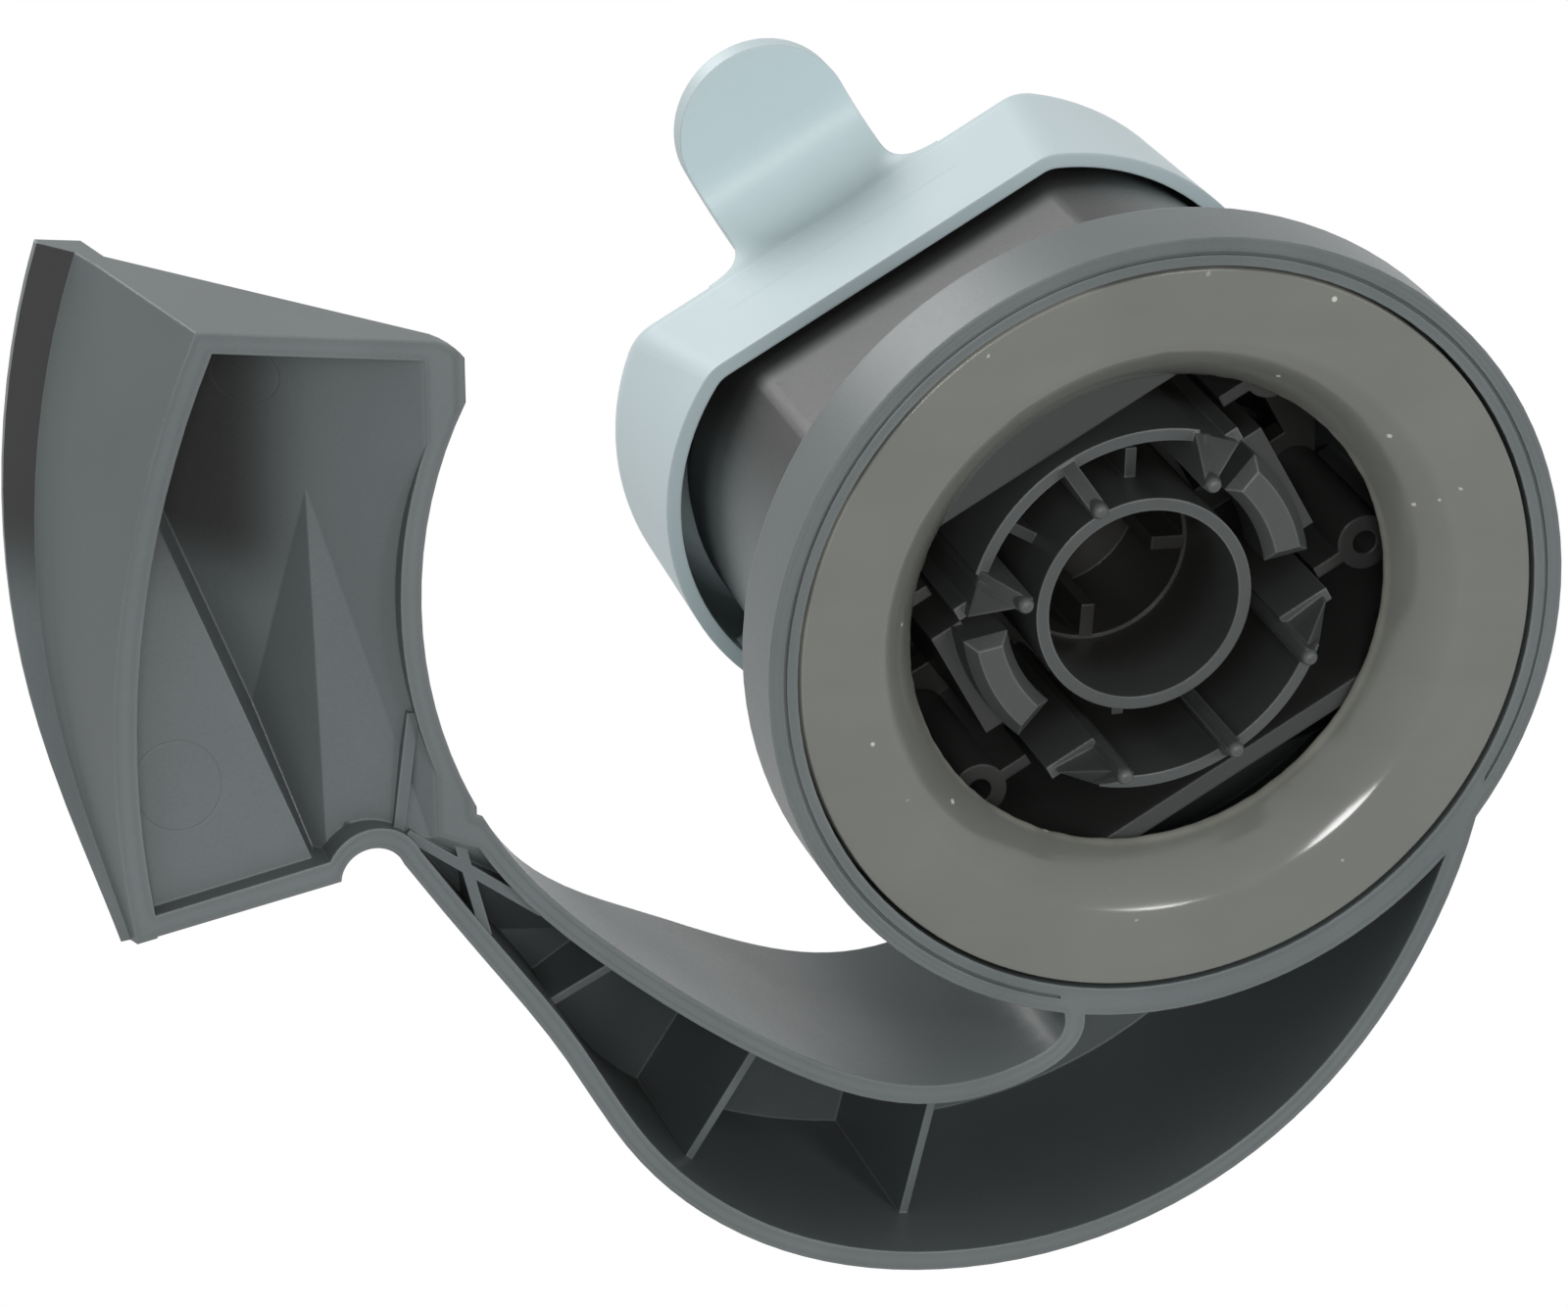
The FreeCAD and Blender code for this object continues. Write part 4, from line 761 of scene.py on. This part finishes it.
@dataclass
class SealRing:
    """The soft ring: a turned section with a rounded outer wall, a flat face and a funnel.

    Its sizes are millimetres, and its heights are above the rims.
    """

    inner_wall: float = 38.0
    face: float = 0.2
    face_start: float = 4.0
    face_margin: float = 0.4
    back: float = 1.8
    back_margin: float = 1.6
    back_bend: Point = (29.4, 3.2)
    back_steps: int = 8
    seat: float = 7.5
    flat: float = 31.6
    funnel_bend: Point = (28.3, 1.9)
    funnel_steps: int = 12
    lip_height: float = 7.1
    lip: float = 0.8
    lip_width: float = 1.2
    corner: float = 0.35
    segments: int = 300
    ragged: float = 0.10
    wave_circle: float = 6.0
    wave_level: float = 0.5
    wave_scale: float = 3.0

    def section(self) -> list[Point]:
        """Draw the closed section.

        Returns:
            Radius and height of each point.
        """
        middle = ROUNDING_SHARE * self.corner
        lip_end = (SEAL_HOLE_RADIUS + self.lip_width, self.lip_height)
        outer_wall = [(SEAL_RADIUS, self.seat), (SEAL_RADIUS, self.face + self.corner),
                      (SEAL_RADIUS - middle, self.face + middle)]
        face = [(SEAL_RADIUS - self.corner, self.face), (SEAL_RADIUS - self.face_start, self.face),
                (self.flat + self.face_margin, self.face)]
        funnel = curve((self.flat, self.face), self.funnel_bend,
                       (SEAL_HOLE_RADIUS, self.lip_height - self.lip), self.funnel_steps)
        back = curve(lip_end, self.back_bend, (self.flat + self.back_margin, self.back),
                     self.back_steps)
        inner_wall = [(self.inner_wall, self.back), (self.inner_wall, self.seat)]
        trim = [(SEAL_HOLE_RADIUS, self.lip_height)]
        return outer_wall + face + funnel + trim + back + inner_wall

    def build(self) -> None:
        """Turn the section about the axis, with a slightly uneven trimmed lip, and settle it."""
        mesh = bmesh.new()
        section = self.section()
        rings = []
        for step in range(self.segments):
            angle = 2 * math.pi * step / self.segments
            seed = Vector(round_axis(self.wave_circle, angle, self.wave_level))
            wave = self.ragged * noise.noise(self.wave_scale * seed)
            ring = []
            for radius, height in section:
                reach = radius + wave if radius <= SEAL_HOLE_RADIUS else radius
                spot = round_axis(reach * MM, angle, height * MM - MOUTH_HEIGHT)
                ring.append(mesh.verts.new(spot))
            rings.append(ring)
        count = len(section)
        for step, ring in enumerate(rings):
            after = rings[(step + 1) % self.segments]
            for index in range(count):
                following = (index + 1) % count
                mesh.faces.new((ring[index], ring[following], after[following], after[index]))
        bmesh.ops.recalc_face_normals(mesh, faces=mesh.faces)
        made = piece_from("seal_ring_moulding", mesh, Look.SEAL.material())
        settle(made, "base", Slot.SEAL, "seal_ring")


class NodeTool:
    """A Geometry Nodes tree with named inputs, run on a carrier and turned into a plain mesh."""

    def __init__(self, name: str, inputs: dict[str, tuple[str, Any]]) -> None:
        """Make the tree and its interface.

        Args:
            name: the tree's name.
            inputs: socket type and value by input name.
        """
        self.tree = bpy.data.node_groups.new(name, "GeometryNodeTree")
        self.graph = Graph(self.tree)
        self.values: dict[str, Any] = {}
        face = self.tree.interface
        for way in ("INPUT", "OUTPUT"):
            face.new_socket("Geometry", in_out=way, socket_type="NodeSocketGeometry")
        for label, (kind, value) in inputs.items():
            made = face.new_socket(label, in_out="INPUT", socket_type=kind)
            self.values[made.identifier] = value
        self.source = self.graph.node("NodeGroupInput")

    def given(self, label: str) -> Term:
        """One of the tree's inputs."""
        return Term(self.graph, self.source.outputs[label])

    def finish(self, geometry: Term, material: bpy.types.Material) -> None:
        """Realize the instances, set the material and close the tree.

        Args:
            geometry: what the tree made.
            material: its finish.
        """
        real = self.graph.add("GeometryNodeRealizeInstances", None, {0: geometry})
        painted = self.graph.add("GeometryNodeSetMaterial", None,
                                 {"Geometry": real, "Material": material})
        self.graph.node("NodeGroupOutput", None, {0: painted})

    def run(self, name: str, spots: list[Vector]) -> bpy.types.Object:
        """Run the tree on a carrier whose vertices are the given spots.

        Args:
            name: the new object's name.
            spots: the carrier's vertices.

        Returns:
            A plain mesh object at the origin.
        """
        carrier_mesh = bpy.data.meshes.new(name + "_carrier")
        carrier_mesh.from_pydata([tuple(spot) for spot in spots], [], [])
        carrier = bpy.data.objects.new(name + "_carrier", carrier_mesh)
        bpy.context.scene.collection.objects.link(carrier)
        modifier = carrier.modifiers.new("nodes", "NODES")
        modifier.node_group = self.tree
        for identifier, value in self.values.items():
            modifier[identifier] = value
        made = bpy.data.objects.new(name, evaluated_mesh(carrier))
        made.data.name = name
        bpy.context.scene.collection.objects.link(made)
        carrier.modifiers.clear()
        bpy.data.objects.remove(carrier)
        return made


@dataclass
class Screws:
    """Eight pan-head screws with a cross recess: four hold the hub, four hold the lid.

    Its sizes are millimetres. A screw's seat is at height 0, with its head above and its shank
    below, and the spots give each set's place along and across the tower and its seat's height.
    """

    head_radius: float = 2.2
    head_height: float = 1.6
    head_rounding: float = 0.7
    head_angles: tuple[float, ...] = (0.0, 0.4, 0.8, 1.2, math.pi / 2)
    shank_radius: float = 1.3
    length: float = 12.0
    neck: float = 0.2
    tip_share: float = 0.7
    threads: int = 10
    pitch: float = 1.0
    thread_start: float = 1.6
    thread_depth: float = 0.22
    crest: Span = (0.75, 0.45)
    root: float = 0.1
    recess_reach: float = 1.3
    recess_width: float = 0.6
    recess_depth: float = 0.9
    recess_clearance: float = 1.0
    hub_spots: Place = (24.0, 11.75, 37.0)
    lid_spots: Place = (23.0, 14.5, 66.5)
    sides: int = 40
    seed: int = 7

    def profile(self) -> list[Point]:
        """Draw the screw's outline from its tip to the middle of its head.

        Returns:
            Radius and height of each point.
        """
        head = [(self.head_radius - self.head_rounding * (1 - math.cos(turn)),
                 self.head_height - self.head_rounding * (1 - math.sin(turn)))
                for turn in self.head_angles]
        thread = []
        for index in range(self.threads):
            top = -self.length + self.thread_start + index * self.pitch
            thread += [(self.shank_radius, top - drop) for drop in self.crest]
            thread.append((self.shank_radius - self.thread_depth, top - self.root))
        tip = [(0.0, -self.length), (self.tip_share * self.shank_radius, -self.length)]
        seat = [(self.shank_radius, -self.neck), (self.shank_radius, 0.0), (self.head_radius, 0.0)]
        return tip + thread + seat + head + [(0.0, self.head_height)]

    def recess(self) -> list[Point]:
        """Draw the cross in plan.

        Returns:
            Its corners, in order round it.
        """
        reach, half = self.recess_reach, self.recess_width / 2
        corners = []
        for quarter in range(4):
            turn = Matrix.Rotation(quarter * math.pi / 2, 2)
            corners += [tuple(turn @ Vector(corner))
                        for corner in ((reach, -half), (reach, half), (half, half))]
        return corners

    def cutter(self, material: bpy.types.Material) -> bpy.types.Object:
        """The upright cross that sinks the recess.

        Args:
            material: the screw's finish.

        Returns:
            The closed cross, from the recess's floor to clear above the head.
        """
        mesh = bmesh.new()
        corners = self.recess()
        low = self.head_height - self.recess_depth
        high = self.head_height + self.recess_clearance
        foot, top = ([mesh.verts.new((x * MM, y * MM, height * MM)) for x, y in corners]
                     for height in (low, high))
        mesh.faces.new(foot[::-1])
        mesh.faces.new(top)
        for index in range(len(corners)):
            after = (index + 1) % len(corners)
            mesh.faces.new((foot[index], foot[after], top[after], top[index]))
        return piece_from("screw_recess", mesh, material)

    def one(self, material: bpy.types.Material) -> bpy.types.Object:
        """Turn one screw about Z and sink its recess.

        Args:
            material: its finish.

        Returns:
            The screw, at the origin with its seat at height 0.
        """
        blank = piece_from("screw_blank", turned_mesh(self.profile(), self.sides), material)
        tool = self.cutter(material)
        sink = blank.modifiers.new("recess", "BOOLEAN")
        sink.operation = "DIFFERENCE"
        sink.solver = "EXACT"
        sink.object = tool
        blank.data = evaluated_mesh(blank)
        blank.modifiers.clear()
        bpy.data.objects.remove(tool)
        return blank

    def build(self) -> None:
        """Set the screws in their holes, each turned at random, and settle them."""
        material = Look.PIN.material()
        single = self.one(material)
        tool = NodeTool("screws", {"Screw": ("NodeSocketObject", single),
                                   "Seed": ("NodeSocketInt", self.seed)})
        shape = tool.graph.add("GeometryNodeObjectInfo", {"transform_space": "RELATIVE"},
                               {"Object": tool.given("Screw")}, output="Geometry")
        turn = tool.graph.add("FunctionNodeRandomValue", {"data_type": "FLOAT"},
                              {"Max": math.pi, "Seed": tool.given("Seed")}, output="Value")
        spin = tool.graph.add("ShaderNodeCombineXYZ", None, {"Z": turn})
        placed = tool.graph.add("GeometryNodeInstanceOnPoints", None,
                                {"Points": tool.given("Geometry"), "Instance": shape,
                                 "Rotation": spin})
        tool.finish(placed, material)
        for label, (x, y, seat) in (("hub_screw", self.hub_spots), ("lid_screw", self.lid_spots)):
            spots = [on_hub(end * x, side * y, seat) for end in (-1, 1) for side in (-1, 1)]
            nodes = (f"{label}_{number}" for number in range(1, len(spots) + 1))
            settle(tool.run(label + "s", spots), "base", Slot.PIN, *nodes)
        bpy.data.objects.remove(single)


@dataclass
class Springs:
    """The yoke's spring under the lid and the thin spring between the jaws' tops.

    Its sizes are millimetres, and its heights are above the rims.
    """

    yoke_radius: float = 10.3
    yoke_wire: float = 1.1
    yoke_start: float = 55.15
    yoke_end: float = 63.85
    yoke_centre: float = -4.25
    yoke_turns: float = 2.0
    yoke_lift: float = 5.55
    lid_gap: float = 0.15
    jaw_radius: float = 2.3
    jaw_wire: float = 0.6
    jaw_half_length: float = 16.55
    jaw_height: float = 47.0
    jaw_turns: float = 8.0
    jaw_travel: float = 0.87
    turn_points: int = 36
    wire_sides: int = 14

    def coil(self, name: str, radius: float, wire: float, length: float, turns: float,
             material: bpy.types.Material) -> bpy.types.Object:
        """Wind a wire along Z from height 0.

        Args:
            name: the object's name.
            radius: the coil's middle radius in millimetres.
            wire: the wire's diameter.
            length: the coil's whole length.
            turns: how many turns it has.
            material: its finish.

        Returns:
            The coil.
        """
        sizes = {"Radius": radius * MM, "Wire Radius": wire / 2 * MM,
                 "Height": (length - wire) * MM, "Turns": turns}
        tool = NodeTool(name + "_coil",
                        {label: ("NodeSocketFloat", size) for label, size in sizes.items()})
        given = {label: tool.given(label) for label in sizes}
        spiral = tool.graph.add("GeometryNodeCurveSpiral", None,
                                {"Resolution": self.turn_points, "Rotations": given["Turns"],
                                 "Start Radius": given["Radius"], "End Radius": given["Radius"],
                                 "Height": given["Height"]})
        section = tool.graph.add("GeometryNodeCurvePrimitiveCircle", None,
                                 {"Resolution": self.wire_sides, "Radius": given["Wire Radius"]})
        wound = tool.graph.add("GeometryNodeCurveToMesh", None,
                               {"Curve": spiral, "Profile Curve": section, "Fill Caps": True})
        lifted = tool.graph.add("GeometryNodeTransform", None,
                                {"Geometry": wound, "Translation": (0.0, 0.0, wire / 2 * MM)})
        smooth = tool.graph.add("GeometryNodeSetShadeSmooth", None, {0: lifted})
        tool.finish(smooth, material)
        return tool.run(name, [Vector()])

    def build(self) -> None:
        """Make both springs."""
        material = Look.SPRING.material()
        self.build_yoke_spring(material)
        self.build_jaw_spring(material)

    def build_yoke_spring(self, material: bpy.types.Material) -> None:
        """Wind, place and settle the yoke's spring, which the yoke pushes up against the lid.

        Args:
            material: its finish.
        """
        length = self.yoke_end - self.yoke_start
        coil = self.coil("yoke_spring_wire", self.yoke_radius, self.yoke_wire, length,
                         self.yoke_turns, material)
        spot = on_hub(0.0, self.yoke_centre, self.yoke_start)
        coil.data.transform(Matrix.Translation(spot) @ Matrix.Rotation(HUB_TURN, 4, "Z"))
        settle(coil, "base", Slot.SPRING, "yoke_spring")
        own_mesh(coil)

    def build_jaw_spring(self, material: bpy.types.Material) -> None:
        """Wind, place and settle the jaws' spring, which both tops push towards its middle.

        Args:
            material: its finish.
        """
        coil = self.coil("jaw_spring_wire", self.jaw_radius, self.jaw_wire,
                         2 * self.jaw_half_length, self.jaw_turns, material)
        spot = on_hub(-self.jaw_half_length, 0.0, self.jaw_height)
        along = Matrix.Rotation(HUB_TURN, 4, "Z") @ Matrix.Rotation(math.pi / 2, 4, "Y")
        coil.data.transform(Matrix.Translation(spot) @ along)
        settle(coil, "base", Slot.SPRING, "jaw_spring")
        middle = on_hub(0.0, 0.0, self.jaw_height)
        direction = on_hub(1.0 / MM, 0.0, self.jaw_height) - middle
        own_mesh(coil)


@dataclass
class Pins:
    """The plain pins: two in the jaws, two in the lever's hinge and one that lifts the yoke.

    Its sizes are millimetres, and its heights are above the rims.
    """

    chamfer: float = 0.3
    sides: int = 48
    jaw_radius: float = 1.25
    jaw_pivot: float = 18.5
    jaw_half_length: float = 9.2
    jaw_height: float = 40.0
    hinge_radius: float = 1.5
    hinge_start: float = 27.8
    hinge_end: float = 34.2
    hinge_back: float = 10.0
    hinge_height: float = 60.5
    lever_shift: float = -1.2
    yoke_radius: float = 1.5
    yoke_half_length: float = 11.0
    yoke_front: float = 7.0
    yoke_height: float = 72.0

    def outline(self, radius: float, length: float) -> list[Point]:
        """Half a pin's outline, with its chamfers rounded.

        Args:
            radius: its radius.
            length: its length.

        Returns:
            Radius and height of each point, from one end's middle to the other's.
        """
        edge = self.chamfer
        middle = ROUNDING_SHARE * edge
        return [(0.0, 0.0), (radius - edge, 0.0), (radius - middle, middle), (radius, edge),
                (radius, length - edge), (radius - middle, length - middle),
                (radius - edge, length), (0.0, length)]

    def pin(self, name: str, body: str, radius: float, ends: tuple[Vector, Vector]) -> None:
        """Turn one chamfered pin between two points and settle it in place of its node.

        Args:
            name: the CAD node's name.
            body: the body it rides on.
            radius: its radius in millimetres.
            ends: the middles of its end faces.
        """
        start, end = ends
        mesh = turned_mesh(self.outline(radius, (end - start).length / MM), self.sides)
        turn = (end - start).to_track_quat("Z", "Y").to_matrix().to_4x4()
        mesh.transform(Matrix.Translation(start) @ turn)
        settle(piece_from(name + "_turned", mesh, Look.PIN.material()), body, Slot.PIN, name)

    def build(self) -> None:
        """Make the five pins."""
        for side, sign in (("left", -1), ("right", 1)):
            pivot = sign * self.jaw_pivot
            ends = (on_hub(pivot, -self.jaw_half_length, self.jaw_height),
                    on_hub(pivot, self.jaw_half_length, self.jaw_height))
            self.pin(f"jaw_pin_{side}", "base", self.jaw_radius, ends)
            outer = self.hinge_end * sign + self.lever_shift
            ends = (on_hub(sign * self.hinge_start, self.hinge_back, self.hinge_height),
                    on_hub(outer, self.hinge_back, self.hinge_height))
            self.pin(f"hinge_pin_{side}", "base", self.hinge_radius, ends)
        ends = (on_hub(-self.yoke_half_length, -self.yoke_front, self.yoke_height),
                on_hub(self.yoke_half_length, -self.yoke_front, self.yoke_height))
        self.pin("yoke_pin", "lever", self.yoke_radius, ends)


@dataclass(frozen=True)
class Lamp:
    """A round soft lamp: its name, where it hangs and its width in metres, and its watts."""

    name: str
    spot: Place
    size: float
    power: float

    def hang(self, target: Vector) -> None:
        """Hang the lamp so that it faces a point.

        Args:
            target: the point, in metres.
        """
        data = bpy.data.lights.new(self.name, "AREA")
        data.shape = "DISK"
        data.size = self.size
        data.energy = self.power
        made = bpy.data.objects.new(self.name, data)
        turn = (target - Vector(self.spot)).to_track_quat("-Z", "Y").to_matrix().to_4x4()
        made.matrix_world = Matrix.Translation(self.spot) @ turn
        bpy.context.scene.collection.objects.link(made)


@dataclass
class Studio:
    """The camera at the photograph's angle, the floor, the light all round and the lamps.

    Places and distances are metres. The view vector is the turn, as an axis times an angle,
    that takes the frame's axes to the view's.
    """

    view_vector: Place = (0.40899551, -0.31660116, 0.0)
    location: Place = (-0.26442, -0.28863, -0.64798)
    lens: float = 168.75
    sensor: float = 36.0
    floor_half: float = 1.5
    floor_cloud: Pattern = Pattern(6.0)
    floor_colours: tuple[Colour, Colour] = ((0.88, 0.88, 0.88), (0.93, 0.93, 0.93))
    floor_fade: Span = (0.35, 1.1)
    world_colour: tuple[float, ...] = (1.0, 1.0, 1.0, 1.0)
    world_level: float = 0.36
    target: Place = (-0.02, 0.0, 0.03)
    lamps: tuple[Lamp, ...] = (
        Lamp("key_below", (-0.40, -0.42, -1.30), 0.40, 8.4),
        Lamp("fill_below", (0.45, -0.62, -1.20), 0.28, 4.0),
        Lamp("key_above", (-0.6, -0.8, 1.1), 0.9, 13.0),
        Lamp("fill_above", (0.8, 0.6, 0.8), 0.9, 6.0))

    def camera(self) -> None:
        """Set the camera by the view vector."""
        turn = Vector(self.view_vector)
        view = Matrix.Rotation(turn.length, 3, turn.normalized())
        right, down, ahead = view.row[0], view.row[1], view.row[2]
        axes = Matrix((right, -down, -ahead)).transposed()
        data = bpy.data.cameras.new("camera")
        data.lens = self.lens
        data.sensor_width = self.sensor
        made = bpy.data.objects.new("camera", data)
        made.matrix_world = Matrix.Translation(self.location) @ axes.to_4x4()
        bpy.context.scene.collection.objects.link(made)
        bpy.context.scene.camera = made

    def floor(self) -> None:
        """Lay a pale floor that fades out far away and can't be seen from underneath."""
        mesh = bmesh.new()
        half = self.floor_half
        corners = [mesh.verts.new((x, y, -MOUTH_HEIGHT))
                   for x, y in ((-half, -half), (half, -half), (half, half), (-half, half))]
        mesh.faces.new(corners)
        material = bpy.data.materials.new("pale_floor")
        graph = Graph.of(material)
        place = graph.place()
        tone = graph.mix(self.floor_cloud.on(graph, place), *self.floor_colours)
        pale = graph.add("ShaderNodeBsdfDiffuse", None, {"Color": tone})
        clear = graph.add("ShaderNodeBsdfTransparent")
        below = graph.add("ShaderNodeNewGeometry", output="Backfacing")
        reach = graph.add("ShaderNodeVectorMath", {"operation": "LENGTH"}, {0: place},
                          output="Value")
        hidden = below.math("MAXIMUM", reach.step(*self.floor_fade))
        shown = graph.add("ShaderNodeMixShader", None, {0: hidden, 1: pale, 2: clear})
        graph.node("ShaderNodeOutputMaterial", None, {"Surface": shown})
        made = piece_from("floor", mesh, material)
        made.visible_shadow = made.visible_diffuse = made.visible_glossy = False
        made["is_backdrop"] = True

    def world(self) -> None:
        """Light all round at a level, but full white to the camera and in reflections."""
        world = bpy.data.worlds.new("studio")
        bpy.context.scene.world = world
        graph = Graph.of(world)
        path = graph.node("ShaderNodeLightPath")
        seen = Term(graph, path.outputs["Is Camera Ray"])
        for ray in ("Is Glossy Ray", "Is Transmission Ray"):
            seen = seen.math("MAXIMUM", path.outputs[ray])
        strength = seen * (1.0 - self.world_level) + self.world_level
        light = graph.add("ShaderNodeBackground", None,
                          {"Color": self.world_colour, "Strength": strength})
        graph.node("ShaderNodeOutputWorld", None, {"Surface": light})

    def build(self) -> None:
        """Set up the view and the light."""
        bpy.context.scene.view_settings.view_transform = "Standard"
        self.camera()
        self.floor()
        self.world()
        for lamp in self.lamps:
            lamp.hang(Vector(self.target))


def main() -> None:
    """Build the studio and the part's looks in order."""
    Studio().build()
    MouldedNodes().dress()
    for group in (SealRing(), Screws(), Springs(), Pins()):
        group.build()
    boxes = {"cad": cad_bounds, "visual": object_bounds()}
    {name: [list(corner) for corner in box] for name, box in boxes.items()}


if __name__ == "__main__":
    main()
